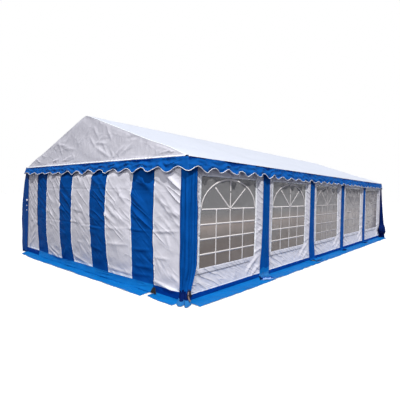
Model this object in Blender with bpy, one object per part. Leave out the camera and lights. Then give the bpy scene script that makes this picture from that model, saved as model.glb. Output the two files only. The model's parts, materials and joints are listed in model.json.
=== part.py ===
"""A party tent, 5 m wide and 10 m long, with a pitched roof, window panels and striped end walls.

Metres, +Z up. The origin is on the ground at the middle of the tent. The tent is long along Y, and its
front end wall faces -Y. Coated cloth is 0.5 mm thick on the real tent and is drawn thicker here.
"""

import math

import bmesh
import bpy
from mathutils import Matrix, Vector

# Driving sizes of the whole tent
WIDTH = 5.0
LENGTH = 10.0
BAYS = 5
RIDGE_HEIGHT = 2.75
EAVE_HEIGHT = 1.90
ROOF_EDGE = 2.52
WALL_TOP = 1.88

# Cloth
CLOTH = 0.0035
FILM = 0.003
FIT_GAP = 0.0003

# Steel frame
TUBE_RADIUS = 0.019
ARM_RADIUS = 0.0225
SLEEVE_RADIUS = 0.024
ARM_LENGTH = 0.12
BORE_CLEARANCE = 0.0004
BORE_OVERRUN = 0.01
ARM_START = 0.003
TUBE_START = 0.006
TUBE_SIDES = 16
FOOT_SIZE = 0.11
FOOT_THICKNESS = 0.004
FOOT_SETBACK = 0.0005

# Window panels on the long sides
WINDOW_WIDTH = 1.39
WINDOW_BOTTOM = 0.39
WINDOW_TOP = 1.66
FILM_BOTTOM = 0.34
FILM_TOP = 1.87
FILM_END = 4.90
POST_STRIP_WIDTH = 0.23

# End walls
ZIP_OFFSET = 1.865
ZIP_WIDTH = 0.002
ZIP_TOP = 1.72
WRAP_ON_END = 0.11
WRAP_ON_SIDE = 0.16
HEM_DEPTH = 0.024
HEM_HEIGHT = 0.045
GABLE_TONGUE = 0.003

# Valance with a wavy lower edge
VALANCE_TIP = 1.70
VALANCE_NOTCH = 1.785
SIDE_WAVES = 30
END_WAVES = 14
POINTS_PER_WAVE = 8

# Skirt that lies on the ground along each wall
SIDE_SKIRT = 0.275
END_SKIRT = 0.245
SIDE_SKIRT_REACH = 4.98
END_SKIRT_REACH = 2.47
SKIRT_ROOT = 0.02
POST_SLIT = 0.006
ZIP_SLIT = 0.06
ZIP_SLIT_PLACE = 1.89

HALF_WIDTH = WIDTH / 2
HALF_LENGTH = LENGTH / 2
BAY = LENGTH / BAYS
PITCH = math.atan2(RIDGE_HEIGHT - EAVE_HEIGHT, ROOF_EDGE)
SLOPE = math.tan(PITCH)
CLOTH_RISE = CLOTH / math.cos(PITCH)
LEG_X = HALF_WIDTH - CLOTH - FIT_GAP - FILM - FIT_GAP - SLEEVE_RADIUS
END_FRAME_Y = HALF_LENGTH - CLOTH - FIT_GAP - SLEEVE_RADIUS
APEX_Z = RIDGE_HEIGHT - (CLOTH + FIT_GAP + SLEEVE_RADIUS) / math.cos(PITCH)
CORNER_Z = APEX_Z - SLOPE * LEG_X
POST_LINES = [-HALF_LENGTH + BAY * number for number in range(1, BAYS)]
BAY_MIDDLES = [-HALF_LENGTH + BAY * (number + 0.5) for number in range(BAYS)]
PURLIN_END = END_FRAME_Y + TUBE_RADIUS
SKIRT_TOP = CLOTH + FIT_GAP

for startup_object in list(bpy.data.objects):
    bpy.data.objects.remove(startup_object)

TENT = bpy.data.collections.new("party_tent")
TOOLS = bpy.data.collections.new("tools")
TOOLS.hide_render = True
bpy.context.scene.collection.children.link(TENT)
bpy.context.scene.collection.children.link(TOOLS)


def material(name, colour, roughness, metallic=0.0, alpha=1.0):
    """A plain Principled material."""
    made = bpy.data.materials.new(name)
    made.use_nodes = True
    shader = made.node_tree.nodes["Principled BSDF"]
    shader.inputs["Base Color"].default_value = (*colour, 1.0)
    shader.inputs["Roughness"].default_value = roughness
    shader.inputs["Metallic"].default_value = metallic
    shader.inputs["Alpha"].default_value = alpha
    made.diffuse_color = (*colour, alpha)
    return made


WHITE_CLOTH = material("white_cloth", (0.80, 0.80, 0.82), 0.5)
BLUE_CLOTH = material("blue_cloth", (0.010, 0.090, 0.390), 0.45)
CLEAR_FILM = material("clear_film", (0.60, 0.60, 0.58), 0.15, alpha=0.35)
GALVANISED = material("galvanised_steel", (0.58, 0.59, 0.60), 0.35, metallic=1.0)


def add(name, mesh, finish, place=(0, 0, 0), turn=0.0):
    """Puts a mesh in the tent's collection as one named piece, turned about the upright axis."""
    piece = bpy.data.objects.new(name, mesh)
    mesh.materials.clear()
    mesh.materials.append(finish)
    piece.location = place
    piece.rotation_euler.z = turn
    TENT.objects.link(piece)
    return piece


# Shapes that the pieces are made from


def box_mesh(name, low, high):
    """A cube primitive stretched between two corners."""
    low, high = Vector(low), Vector(high)
    shape = bmesh.new()
    bmesh.ops.create_cube(shape, size=1.0)
    bmesh.ops.scale(shape, vec=high - low, verts=shape.verts)
    bmesh.ops.translate(shape, vec=(low + high) / 2, verts=shape.verts)
    mesh = bpy.data.meshes.new(name)
    shape.to_mesh(mesh)
    shape.free()
    return mesh


def bar_mesh(name, start, end, radius):
    """A round bar from one point to another."""
    start, end = Vector(start), Vector(end)
    shape = bmesh.new()
    bmesh.ops.create_cone(
        shape,
        cap_ends=True,
        segments=TUBE_SIDES,
        radius1=radius,
        radius2=radius,
        depth=(end - start).length,
    )
    turn = (end - start).to_track_quat("Z", "Y").to_matrix().to_4x4()
    bmesh.ops.transform(shape, matrix=Matrix.Translation((start + end) / 2) @ turn, verts=shape.verts)
    mesh = bpy.data.meshes.new(name)
    shape.to_mesh(mesh)
    shape.free()
    return mesh


def add_loop(curve, points):
    """One closed loop of straight runs in a flat curve."""
    spline = curve.splines.new("POLY")
    spline.points.add(len(points) - 1)
    for point, (across, along) in zip(spline.points, points):
        point.co = (across, along, 0, 1)
    spline.use_cyclic_u = True


def sheet_mesh(name, outline, thickness, facing, start=0.0, holes=()):
    """A flat sheet cut to an outline, as thick as stated, with holes through it.

    Facing "end" it stands upright along X, and its thickness runs from y = start towards +Y. Facing
    "side" it stands along Y and runs from x = start towards +X. Facing "ground" it lies flat and runs
    up from z = start.
    """
    curve = bpy.data.curves.new(name, "CURVE")
    curve.dimensions = "2D"
    curve.fill_mode = "BOTH"
    curve.extrude = thickness / 2
    for loop in (outline, *holes):
        add_loop(curve, loop)
    guide = bpy.data.objects.new(name, curve)
    TOOLS.objects.link(guide)
    bpy.context.view_layer.update()
    graph = bpy.context.evaluated_depsgraph_get()
    mesh = bpy.data.meshes.new_from_object(guide.evaluated_get(graph))
    bpy.data.objects.remove(guide)
    stand_up = Matrix.Rotation(math.pi / 2, 4, "X")
    quarter_turn = Matrix.Rotation(math.pi / 2, 4, "Z")
    middle = start + thickness / 2
    placed = {
        "end": Matrix.Translation((0, middle, 0)) @ stand_up,
        "side": Matrix.Translation((middle, 0, 0)) @ quarter_turn @ stand_up,
        "ground": Matrix.Translation((0, 0, middle)),
    }
    mesh.transform(placed[facing])
    shape = bmesh.new()
    shape.from_mesh(mesh)
    bmesh.ops.remove_doubles(shape, verts=shape.verts, dist=0.00001)
    bmesh.ops.recalc_face_normals(shape, faces=shape.faces)
    shape.to_mesh(mesh)
    shape.free()
    return mesh


def rectangle(low_across, low_along, high_across, high_along):
    """The four corners of an upright rectangle."""
    return [
        (low_across, low_along),
        (high_across, low_along),
        (high_across, high_along),
        (low_across, high_along),
    ]


def combine(name, pieces, cuts=()):
    """Joins meshes into one, takes the cuts away, and returns the finished mesh."""
    base = bpy.data.objects.new(name, pieces[0])
    TOOLS.objects.link(base)
    helpers = [base]
    groups = []
    for operation, meshes in (("UNION", pieces[1:]), ("DIFFERENCE", cuts)):
        if not meshes:
            continue
        group = bpy.data.collections.new(operation.lower())
        TOOLS.children.link(group)
        groups.append(group)
        for mesh in meshes:
            helper = bpy.data.objects.new(mesh.name, mesh)
            helper.hide_render = True
            helper.display_type = "WIRE"
            group.objects.link(helper)
            helpers.append(helper)
        step = base.modifiers.new(operation, "BOOLEAN")
        step.operation = operation
        step.solver = "EXACT"
        step.operand_type = "COLLECTION"
        step.collection = group
    bpy.context.view_layer.update()
    graph = bpy.context.evaluated_depsgraph_get()
    finished = bpy.data.meshes.new_from_object(base.evaluated_get(graph))
    finished.name = name
    for helper in helpers:
        bpy.data.objects.remove(helper)
    for group in groups:
        bpy.data.collections.remove(group)
    return finished


# Steel frame


def frame_side(side, sleeve_from, sleeve_to, plate_from):
    """Leg, foot plate, rafter and fittings on one side of a cross frame that stands at y = 0.

    The arms of each fitting stop just short of its middle, inside the sleeve that the purlin runs through.
    """
    x = side * LEG_X
    corner = Vector((x, 0, CORNER_Z))
    apex = Vector((0, 0, APEX_Z))
    down = Vector((0, 0, -1))
    up_slope = (apex - corner).normalized()
    plate_outer = HALF_WIDTH - CLOTH - FOOT_SETBACK
    plate_x = sorted((side * plate_outer, side * (plate_outer - FOOT_SIZE)))
    return [
        bar_mesh("leg", (x, 0, FOOT_THICKNESS / 2), corner + down * TUBE_START, TUBE_RADIUS),
        bar_mesh("rafter", corner + up_slope * TUBE_START, apex - up_slope * TUBE_START, TUBE_RADIUS),
        bar_mesh("leg_arm", corner + down * ARM_START, corner + down * ARM_LENGTH, ARM_RADIUS),
        bar_mesh("eave_arm", corner + up_slope * ARM_START, corner + up_slope * ARM_LENGTH, ARM_RADIUS),
        bar_mesh("apex_arm", apex - up_slope * ARM_START, apex - up_slope * ARM_LENGTH, ARM_RADIUS),
        bar_mesh("eave_sleeve", (x, sleeve_from, CORNER_Z), (x, sleeve_to, CORNER_Z), SLEEVE_RADIUS),
        box_mesh("foot", (plate_x[0], plate_from, 0), (plate_x[1], plate_from + FOOT_SIZE, FOOT_THICKNESS)),
    ]


def cross_frame_mesh(name, sleeve_from, sleeve_to, plate_from):
    """Two legs and two rafters with their fittings, bored along Y for the three rows of purlins."""
    pieces = []
    for side in (-1, 1):
        pieces += frame_side(side, sleeve_from, sleeve_to, plate_from)
    pieces.append(bar_mesh("ridge_sleeve", (0, sleeve_from, APEX_Z), (0, sleeve_to, APEX_Z), SLEEVE_RADIUS))
    bores = []
    for x, z in ((-LEG_X, CORNER_Z), (0, APEX_Z), (LEG_X, CORNER_Z)):
        start = (x, sleeve_from - BORE_OVERRUN, z)
        end = (x, sleeve_to + BORE_OVERRUN, z)
        bores.append(bar_mesh("bore", start, end, TUBE_RADIUS + BORE_CLEARANCE))
    return combine(name, pieces, bores)


def build_frame():
    """Six cross frames, and three rows of purlins that run through their sleeves."""
    inner = cross_frame_mesh("inner_frame", -ARM_LENGTH, ARM_LENGTH, -FOOT_SIZE / 2)
    end = cross_frame_mesh("end_frame", -SLEEVE_RADIUS, ARM_LENGTH, -SLEEVE_RADIUS)
    add("cross_frame_1", end, GALVANISED, (0, -END_FRAME_Y, 0))
    for number, y in enumerate(POST_LINES, start=2):
        add(f"cross_frame_{number}", inner, GALVANISED, (0, y, 0))
    add(f"cross_frame_{BAYS + 1}", end, GALVANISED, (0, END_FRAME_Y, 0), math.pi)
    rows = {
        "ridge_purlins": (0, APEX_Z),
        "left_eave_purlins": (-LEG_X, CORNER_Z),
        "right_eave_purlins": (LEG_X, CORNER_Z),
    }
    for name, (x, z) in rows.items():
        bar = bar_mesh(name, (0, -PURLIN_END, 0), (0, PURLIN_END, 0), TUBE_RADIUS)
        add(name, bar, GALVANISED, (x, 0, z))


# Roof, gables and valances


def build_roof():
    """One sheet over the ridge, cut off upright at the eaves."""
    profile = [
        (-ROOF_EDGE, EAVE_HEIGHT - CLOTH_RISE),
        (0, RIDGE_HEIGHT - CLOTH_RISE),
        (ROOF_EDGE, EAVE_HEIGHT - CLOTH_RISE),
        (ROOF_EDGE, EAVE_HEIGHT),
        (0, RIDGE_HEIGHT),
        (-ROOF_EDGE, EAVE_HEIGHT),
    ]
    add("roof_cover", sheet_mesh("roof_cover", profile, LENGTH, "end", -HALF_LENGTH), WHITE_CLOTH)


def build_gables():
    """The white triangle over each end wall, with the hem that stands proud along its foot."""
    low = WALL_TOP + FIT_GAP
    top = RIDGE_HEIGHT - CLOTH_RISE - FIT_GAP / math.cos(PITCH)
    shoulder = top - SLOPE * HALF_WIDTH
    triangle = [
        (-HALF_WIDTH, low),
        (HALF_WIDTH, low),
        (HALF_WIDTH, shoulder),
        (0, top),
        (-HALF_WIDTH, shoulder),
    ]
    hem_top_half = ROOF_EDGE - HEM_HEIGHT / SLOPE
    hem = [
        (-ROOF_EDGE, EAVE_HEIGHT),
        (ROOF_EDGE, EAVE_HEIGHT),
        (hem_top_half, EAVE_HEIGHT + HEM_HEIGHT),
        (-hem_top_half, EAVE_HEIGHT + HEM_HEIGHT),
    ]
    face = -HALF_LENGTH - GABLE_TONGUE
    hem_face = -HALF_LENGTH - HEM_DEPTH
    sheet = sheet_mesh("triangle", triangle, CLOTH + GABLE_TONGUE, "end", face)
    roll = sheet_mesh("hem", hem, HEM_DEPTH - FIT_GAP, "end", hem_face)
    gable = combine("gable", [sheet, roll])
    add("front_gable", gable, WHITE_CLOTH)
    add("back_gable", gable, WHITE_CLOTH, turn=math.pi)


def valance_outline(half, waves, top):
    """A strip with a straight top and a lower edge that is a cosine wave, with a tip at each corner."""
    middle = (VALANCE_TIP + VALANCE_NOTCH) / 2
    swing = (VALANCE_NOTCH - VALANCE_TIP) / 2
    steps = waves * POINTS_PER_WAVE
    lower = []
    for step in range(steps + 1):
        along = step / steps
        across = half * (2 * along - 1)
        lower.append((across, middle - swing * math.cos(2 * math.pi * waves * along)))
    return lower + [(half, top), (-half, top)]


def build_valances():
    """Blue scalloped strips round the eaves: the end ones lap over the side ones at the corners."""
    end_face = -HALF_LENGTH - HEM_DEPTH
    end_outline = valance_outline(ROOF_EDGE, END_WAVES, EAVE_HEIGHT - FIT_GAP)
    end_strip = sheet_mesh("end_valance", end_outline, CLOTH, "end", end_face)
    side_half = HALF_LENGTH + HEM_DEPTH - CLOTH - FIT_GAP
    side_outline = valance_outline(side_half, SIDE_WAVES, EAVE_HEIGHT - CLOTH_RISE - FIT_GAP)
    side_strip = sheet_mesh("side_valance", side_outline, CLOTH, "side", ROOF_EDGE - CLOTH)
    add("front_valance", end_strip, BLUE_CLOTH)
    add("back_valance", end_strip, BLUE_CLOTH, turn=math.pi)
    add("right_valance", side_strip, BLUE_CLOTH)
    add("left_valance", side_strip, BLUE_CLOTH, turn=math.pi)


# Walls


def build_window_panels():
    """Five white panels down each long side, each with a window hole, and the film behind the holes."""
    half = BAY / 2 - FIT_GAP / 2
    panel = sheet_mesh(
        "window_panel",
        rectangle(-half, 0, half, WALL_TOP),
        CLOTH,
        "side",
        HALF_WIDTH - CLOTH,
        holes=[rectangle(-WINDOW_WIDTH / 2, WINDOW_BOTTOM, WINDOW_WIDTH / 2, WINDOW_TOP)],
    )
    film = sheet_mesh(
        "window_film",
        rectangle(-FILM_END, FILM_BOTTOM, FILM_END, FILM_TOP),
        FILM,
        "side",
        HALF_WIDTH - CLOTH - FIT_GAP - FILM,
    )
    for side, turn in (("right", 0), ("left", math.pi)):
        for number, y in enumerate(BAY_MIDDLES, start=1):
            add(f"{side}_panel_{number}", panel, WHITE_CLOTH, (0, y, 0), turn)
        add(f"{side}_window_film", film, CLEAR_FILM, turn=turn)


def build_post_strips():
    """A blue strip over each post between two window panels, from the skirt up to the eave."""
    half = POST_STRIP_WIDTH / 2
    outline = rectangle(-half, SKIRT_TOP, half, FILM_TOP)
    strip = sheet_mesh("post_strip", outline, CLOTH, "side", HALF_WIDTH + FIT_GAP)
    for side, turn in (("right", 0), ("left", math.pi)):
        for number, y in enumerate(POST_LINES, start=1):
            add(f"{side}_post_strip_{number}", strip, BLUE_CLOTH, (0, y, 0), turn)


def build_end_walls():
    """Each end wall is one sheet, open from the ground up along its two zips."""
    half = HALF_WIDTH - CLOTH - FIT_GAP
    outline = [(half, 0), (half, WALL_TOP), (-half, WALL_TOP), (-half, 0)]
    for zip_line in (-ZIP_OFFSET, ZIP_OFFSET):
        left, right = zip_line - ZIP_WIDTH / 2, zip_line + ZIP_WIDTH / 2
        outline += [(left, 0), (left, ZIP_TOP), (right, ZIP_TOP), (right, 0)]
    sheet = sheet_mesh("end_wall", outline, CLOTH, "end", -HALF_LENGTH)
    add("front_wall", sheet, WHITE_CLOTH)
    add("back_wall", sheet, WHITE_CLOTH, turn=math.pi)


def corner_wrap_mesh(name, x_side):
    """Blue cloth folded round a front corner post, outside the walls: an L seen from above."""
    x_inner, x_outer = HALF_WIDTH + FIT_GAP, HALF_WIDTH + FIT_GAP + CLOTH
    y_inner, y_outer = -HALF_LENGTH - FIT_GAP, -HALF_LENGTH - FIT_GAP - CLOTH
    outline = [
        (HALF_WIDTH - WRAP_ON_END, y_outer),
        (x_outer, y_outer),
        (x_outer, -HALF_LENGTH + WRAP_ON_SIDE),
        (x_inner, -HALF_LENGTH + WRAP_ON_SIDE),
        (x_inner, y_inner),
        (HALF_WIDTH - WRAP_ON_END, y_inner),
    ]
    placed = [(x_side * x, y) for x, y in outline]
    return sheet_mesh(name, placed, FILM_TOP - SKIRT_TOP, "ground", SKIRT_TOP)


def build_corner_wraps():
    """The same two wraps serve the back corners, turned half round."""
    right = corner_wrap_mesh("right_wrap", 1)
    left = corner_wrap_mesh("left_wrap", -1)
    add("corner_wrap_front_right", right, BLUE_CLOTH)
    add("corner_wrap_front_left", left, BLUE_CLOTH)
    add("corner_wrap_back_left", right, BLUE_CLOTH, turn=math.pi)
    add("corner_wrap_back_right", left, BLUE_CLOTH, turn=math.pi)


def skirt_mesh(name, wall_face, reach, depth, slits, slit_width):
    """A strip on the ground outside a wall that faces -Y, slit from its outer edge almost to the wall."""
    inner = -wall_face - FIT_GAP
    root = -wall_face - SKIRT_ROOT
    outer = -wall_face - depth
    outline = [(reach, inner), (-reach, inner), (-reach, outer)]
    for place in slits:
        left, right = place - slit_width / 2, place + slit_width / 2
        outline += [(left, outer), (left, root), (right, root), (right, outer)]
    outline.append((reach, outer))
    return sheet_mesh(name, outline, CLOTH, "ground")


def build_skirts():
    """Four skirts, each ending short of the corners."""
    zip_slits = (-ZIP_SLIT_PLACE, ZIP_SLIT_PLACE)
    end = skirt_mesh("end_skirt", HALF_LENGTH, END_SKIRT_REACH, END_SKIRT, zip_slits, ZIP_SLIT)
    side = skirt_mesh("side_skirt", HALF_WIDTH, SIDE_SKIRT_REACH, SIDE_SKIRT, POST_LINES, POST_SLIT)
    add("front_skirt", end, BLUE_CLOTH)
    add("back_skirt", end, BLUE_CLOTH, turn=math.pi)
    add("right_skirt", side, BLUE_CLOTH, turn=math.pi / 2)
    add("left_skirt", side, BLUE_CLOTH, turn=-math.pi / 2)


build_frame()
build_roof()
build_gables()
build_valances()
build_window_panels()
build_post_strips()
build_end_walls()
build_corner_wraps()
build_skirts()
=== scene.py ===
# %% [markdown]
# # A party tent in blue and white cloth
# The real object is a steel frame with coated woven cloth hung over it: a white roof, striped end
# walls, and long sides of clear windows. This lesson dresses the plain solids of that frame. Almost
# every piece is a sheet, so almost every piece is a grid of points worked out with numpy.

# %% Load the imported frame
import json
import math

import bpy
import numpy as np
from mathutils import Matrix, Vector

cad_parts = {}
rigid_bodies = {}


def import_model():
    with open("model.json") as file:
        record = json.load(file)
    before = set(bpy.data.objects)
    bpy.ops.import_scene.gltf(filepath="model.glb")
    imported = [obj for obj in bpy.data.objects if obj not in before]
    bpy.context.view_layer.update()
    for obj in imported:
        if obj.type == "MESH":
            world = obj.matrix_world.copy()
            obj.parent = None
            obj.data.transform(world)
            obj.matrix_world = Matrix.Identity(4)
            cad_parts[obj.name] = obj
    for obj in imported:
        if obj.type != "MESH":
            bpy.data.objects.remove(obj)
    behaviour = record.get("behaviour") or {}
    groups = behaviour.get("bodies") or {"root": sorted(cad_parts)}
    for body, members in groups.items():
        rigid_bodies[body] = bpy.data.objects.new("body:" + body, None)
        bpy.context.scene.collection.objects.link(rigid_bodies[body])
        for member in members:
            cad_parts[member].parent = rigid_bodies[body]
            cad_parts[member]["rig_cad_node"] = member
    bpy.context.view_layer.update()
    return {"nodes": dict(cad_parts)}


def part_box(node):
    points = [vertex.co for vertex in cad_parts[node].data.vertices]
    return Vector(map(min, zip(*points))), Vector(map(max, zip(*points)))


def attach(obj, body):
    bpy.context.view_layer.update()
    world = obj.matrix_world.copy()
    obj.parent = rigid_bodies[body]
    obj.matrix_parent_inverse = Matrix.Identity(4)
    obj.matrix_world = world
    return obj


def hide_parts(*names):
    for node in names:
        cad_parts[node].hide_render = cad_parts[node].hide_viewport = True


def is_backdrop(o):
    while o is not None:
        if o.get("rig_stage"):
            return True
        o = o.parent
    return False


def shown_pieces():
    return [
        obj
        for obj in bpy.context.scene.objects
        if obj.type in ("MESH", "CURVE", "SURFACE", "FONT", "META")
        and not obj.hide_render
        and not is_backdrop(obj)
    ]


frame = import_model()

# %% [markdown]
# ## The sizes that the cloth has to fit
# Sizes come from the solids wherever a solid has them, so the cloth can't drift off the frame. The
# ridge, the eaves and the wall faces are read from the boxes of the nodes. The walls hang over HANG,
# and the thicknesses are those of each kind of sheet. All of them are in metres.

# %% Read the main sizes
ROOF_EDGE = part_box("roof_cover")[1].x
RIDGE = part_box("roof_cover")[1].z
EAVE = 1.90
SIDE_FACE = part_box("right_panel_1")[1].x
END_FACE = -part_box("front_wall")[0].y
WALL_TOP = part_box("front_wall")[1].z
HANG = 1.88
BAY = 2.0
POST_LINES = (-3.0, -1.0, 1.0, 3.0)
BAY_MIDDLES = (-4.0, -2.0, 0.0, 2.0, 4.0)
ENDS = ("front", "back")
THICK_CLOTH, VALANCE_CLOTH, THIN_CLOTH, FILM = 0.002, 0.0018, 0.0015, 0.001
print(f"roof edge {ROOF_EDGE:.3f}, ridge {RIDGE:.3f}, wall faces {SIDE_FACE:.3f} and {END_FACE:.3f}")

# %% [markdown]
# ## The camera
# The tent was seen from a person's height, from beside the near corner, with a lens of about 30 mm.
# The place and the turn come from fitting the corners, the eaves, the ridge and the post lines. The
# camera's matrix is built from three directions: right, up and backwards.

# %% Place the camera
CAMERA_PLACE = (5.4297, -8.1229, 1.4272)
CAMERA_YAW, CAMERA_PITCH, CAMERA_ROLL = 0.71618, -0.020817, 0.023156
CAMERA_LENS, FILM_GATE = 29.93, 36.0


def put(name, data):
    """An object with its data, linked to the scene."""
    made = bpy.data.objects.new(name, data)
    bpy.context.scene.collection.objects.link(made)
    return made


def camera_matrix(place, yaw, pitch, roll):
    """Ahead is (-sin yaw cos pitch, cos yaw cos pitch, sin pitch); right and up turn by the roll."""
    ahead = np.array([-math.sin(yaw) * math.cos(pitch), math.cos(yaw) * math.cos(pitch), math.sin(pitch)])
    level = np.array([math.cos(yaw), math.sin(yaw), 0.0])
    upward = np.cross(level, ahead)
    right = math.cos(roll) * level + math.sin(roll) * upward
    top = -math.sin(roll) * level + math.cos(roll) * upward
    matrix = np.eye(4)
    matrix[:3, 0], matrix[:3, 1], matrix[:3, 2], matrix[:3, 3] = right, top, -ahead, place
    return Matrix(matrix.tolist())


lens = bpy.data.cameras.new("camera")
lens.lens, lens.sensor_width = CAMERA_LENS, FILM_GATE
camera = put("camera", lens)
camera.matrix_world = camera_matrix(CAMERA_PLACE, CAMERA_YAW, CAMERA_PITCH, CAMERA_ROLL)
bpy.context.scene.camera = camera
print("camera at", [round(v, 2) for v in camera.location])

# %% [markdown]
# ## Node helpers
# Every finish below is made of nodes. A few short helpers keep that readable. The first two plug in
# values and add a node, and the others are the nodes that come up most: sums, a change of range,
# mixes of two colours, noise and bumps. The last two open a node group and a new finish.

# %% Helpers for nodes


def plug(tree, sockets, values):
    """Fills sockets by their names or numbers; each value is a constant or another node's output."""
    for name, value in values.items():
        if isinstance(value, bpy.types.NodeSocket):
            tree.links.new(value, sockets[name])
        else:
            sockets[name].default_value = value


def add_node(tree, kind, inputs=None, **settings):
    """One node with its settings and its plugged inputs."""
    node = tree.nodes.new("ShaderNode" + kind)
    for key, value in settings.items():
        setattr(node, key, value)
    plug(tree, node.inputs, inputs or {})
    return node


def do(tree, operation, first, second=0.0, third=0.0):
    """The output of one Math node."""
    return add_node(tree, "Math", {0: first, 1: second, 2: third}, operation=operation).outputs[0]


def remap(tree, value, low, high, start=0.0, end=1.0, ease="LINEAR"):
    """A value between low and high moved to between start and end, and held at both."""
    sockets = {0: value, 1: low, 2: high, 3: start, 4: end}
    return add_node(tree, "MapRange", sockets, interpolation_type=ease).outputs[0]


def mix(tree, share, first, second, **settings):
    """The first colour turned into the second by a share. A colour is three numbers or an output."""
    pair = [side if isinstance(side, bpy.types.NodeSocket) else (*side, 1.0) for side in (first, second)]
    return add_node(tree, "Mix", {0: share, 6: pair[0], 7: pair[1]}, data_type="RGBA", **settings).outputs[2]


def noise(tree, place, scale, detail, **more):
    """The outputs of one noise texture."""
    return add_node(tree, "TexNoise", {"Vector": place, "Scale": scale, "Detail": detail, **more}).outputs


def bump(tree, height, distance, strength=1.0, **below):
    """A normal tilted by a height in metres, on top of another one where Normal is given."""
    sockets = {"Height": height, "Distance": distance, "Strength": strength, **below}
    return add_node(tree, "Bump", sockets).outputs[0]


def new_group(name, takes, gives):
    """A node group: Vector is a place and every other socket a number. Returns the group, the sockets it
    takes and the sockets it gives."""
    group = bpy.data.node_groups.new(name, "ShaderNodeTree")
    for way, sockets in (("INPUT", takes), ("OUTPUT", gives)):
        for socket in sockets:
            kind = "NodeSocketVector" if socket == "Vector" else "NodeSocketFloat"
            group.interface.new_socket(socket, in_out=way, socket_type=kind)
    return group, group.nodes.new("NodeGroupInput").outputs, group.nodes.new("NodeGroupOutput").inputs


def new_finish(name, plain, gloss, alpha=1.0):
    """A material, its nodes and its shader's sockets. Values that are the same everywhere sit there.
    Plain is the colour and alpha for views without light."""
    made = bpy.data.materials.new(name)
    made.use_nodes = True
    made.diffuse_color = plain
    sockets = made.node_tree.nodes["Principled BSDF"].inputs
    plug(made.node_tree, sockets, {"Alpha": alpha, "Specular IOR Level": gloss})
    return made, made.node_tree, sockets


# %% [markdown]
# ## What coated cloth looks like close up
# Tent cloth is a weave of flat plastic tapes with a smooth coat on it. The weave shows as a fine
# grid. Two products of sine waves give it: one for the bump, one for the slight change of tone.

# %% Weave group
weave_group, taken, given = new_group("tape_weave", ("Vector", "Tapes per metre"), ("Height", "Tone"))
parts = add_node(weave_group, "SeparateXYZ", {0: taken["Vector"]}).outputs
turns = do(weave_group, "MULTIPLY", taken["Tapes per metre"], math.pi)
warp, weft = [do(weave_group, "SINE", do(weave_group, "MULTIPLY", part, turns)) for part in parts[:2]]
crossing = do(weave_group, "MULTIPLY", warp, weft)
tone = do(weave_group, "MULTIPLY_ADD", crossing, 0.5, 0.5)
plug(weave_group, given, {"Height": do(weave_group, "ABSOLUTE", crossing), "Tone": tone})
print("weave group has", len(weave_group.nodes), "nodes")

# %% [markdown]
# ## Small creases from the bag
# The cloth comes folded small in a bag, and it keeps a net of soft creases. A Voronoi texture's
# distance to its cell edges is such a net, when the place it reads is first pushed about by noise.

# %% Crease group
crease_group, taken, given = new_group("bag_creases", ("Vector", "Creases per metre"), ("Height", "Tone"))
place = taken["Vector"]
shift = {0: noise(crease_group, place, 2.3, 2.0)["Color"], 1: (0.5, 0.5, 0.5), 2: place}
shifted = add_node(crease_group, "VectorMath", shift, operation="MULTIPLY_ADD").outputs[0]
net = {"Vector": shifted, "Scale": taken["Creases per metre"]}
edges = add_node(crease_group, "TexVoronoi", net, feature="DISTANCE_TO_EDGE").outputs["Distance"]
ridge_line = remap(crease_group, edges, 0.0, 0.16, 1.0, 0.0, "SMOOTHSTEP")
cloud = noise(crease_group, place, 5.0, 3.0)["Fac"]
height = do(crease_group, "MULTIPLY_ADD", ridge_line, 0.35, do(crease_group, "MULTIPLY", cloud, 1.3))
plug(crease_group, given, {"Height": height, "Tone": cloud})
print("crease group has", len(crease_group.nodes), "nodes")

# %% [markdown]
# ## Folds from the pull of the ropes
# Cloth that is pulled from its corners keeps long thin folds that lean the way of the pull. Noise
# that is turned to that lean and stretched along it gives streaks. Folding the noise over at its
# middle value turns each streak into a sharp ridge. A slower noise bends the streaks and another one
# leaves some places calm, and below the height called quiet the folds fade.

# %% Pulled fold group
PULL_SOCKETS = ("Vector", "Lean", "Along", "Across", "Quiet")
pull_group, taken, given = new_group("pulled_folds", PULL_SOCKETS, ("Height",))
place = taken["Vector"]
lean = {"Vector": place, "Angle": do(pull_group, "MULTIPLY", taken["Lean"], -1.0)}
turned = add_node(pull_group, "VectorRotate", lean, rotation_type="Z_AXIS").outputs[0]
sway = {0: noise(pull_group, place, 1.6, 1.0)["Color"], 1: (0.0, 0.10, 0.0), 2: turned}
bent = add_node(pull_group, "VectorMath", sway, operation="MULTIPLY_ADD").outputs[0]
stretch = add_node(pull_group, "CombineXYZ", {0: taken["Along"], 1: taken["Across"], 2: 1.0}).outputs[0]
drawn_out = add_node(pull_group, "VectorMath", {0: bent, 1: stretch}, operation="MULTIPLY").outputs[0]
streak = noise(pull_group, drawn_out, 1.0, 1.0)["Fac"]
folded = do(pull_group, "ABSOLUTE", do(pull_group, "MULTIPLY_ADD", streak, 2.0, -1.0))
peak = do(pull_group, "POWER", do(pull_group, "SUBTRACT", 1.0, folded), 7.0)
lively = remap(pull_group, noise(pull_group, place, 2.1, 1.0)["Fac"], 0.35, 0.62, 0.15, 1.0)
height = add_node(pull_group, "SeparateXYZ", {0: place}).outputs[1]
awake = remap(pull_group, do(pull_group, "SUBTRACT", height, taken["Quiet"]), -0.15, 0.25, 0.25, 1.0)
strength = do(pull_group, "MULTIPLY", lively, awake)
plug(pull_group, given, {"Height": do(pull_group, "MULTIPLY", peak, strength)})
print("pulled fold group has", len(pull_group.nodes), "nodes")

# %% [markdown]
# ## Dust near the ground
# Splashes and dust reach a hand's width up the walls. The mask is strong at the ground, fades with
# height, and is broken up by noise. It reads object coordinates, which are metres here.

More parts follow.
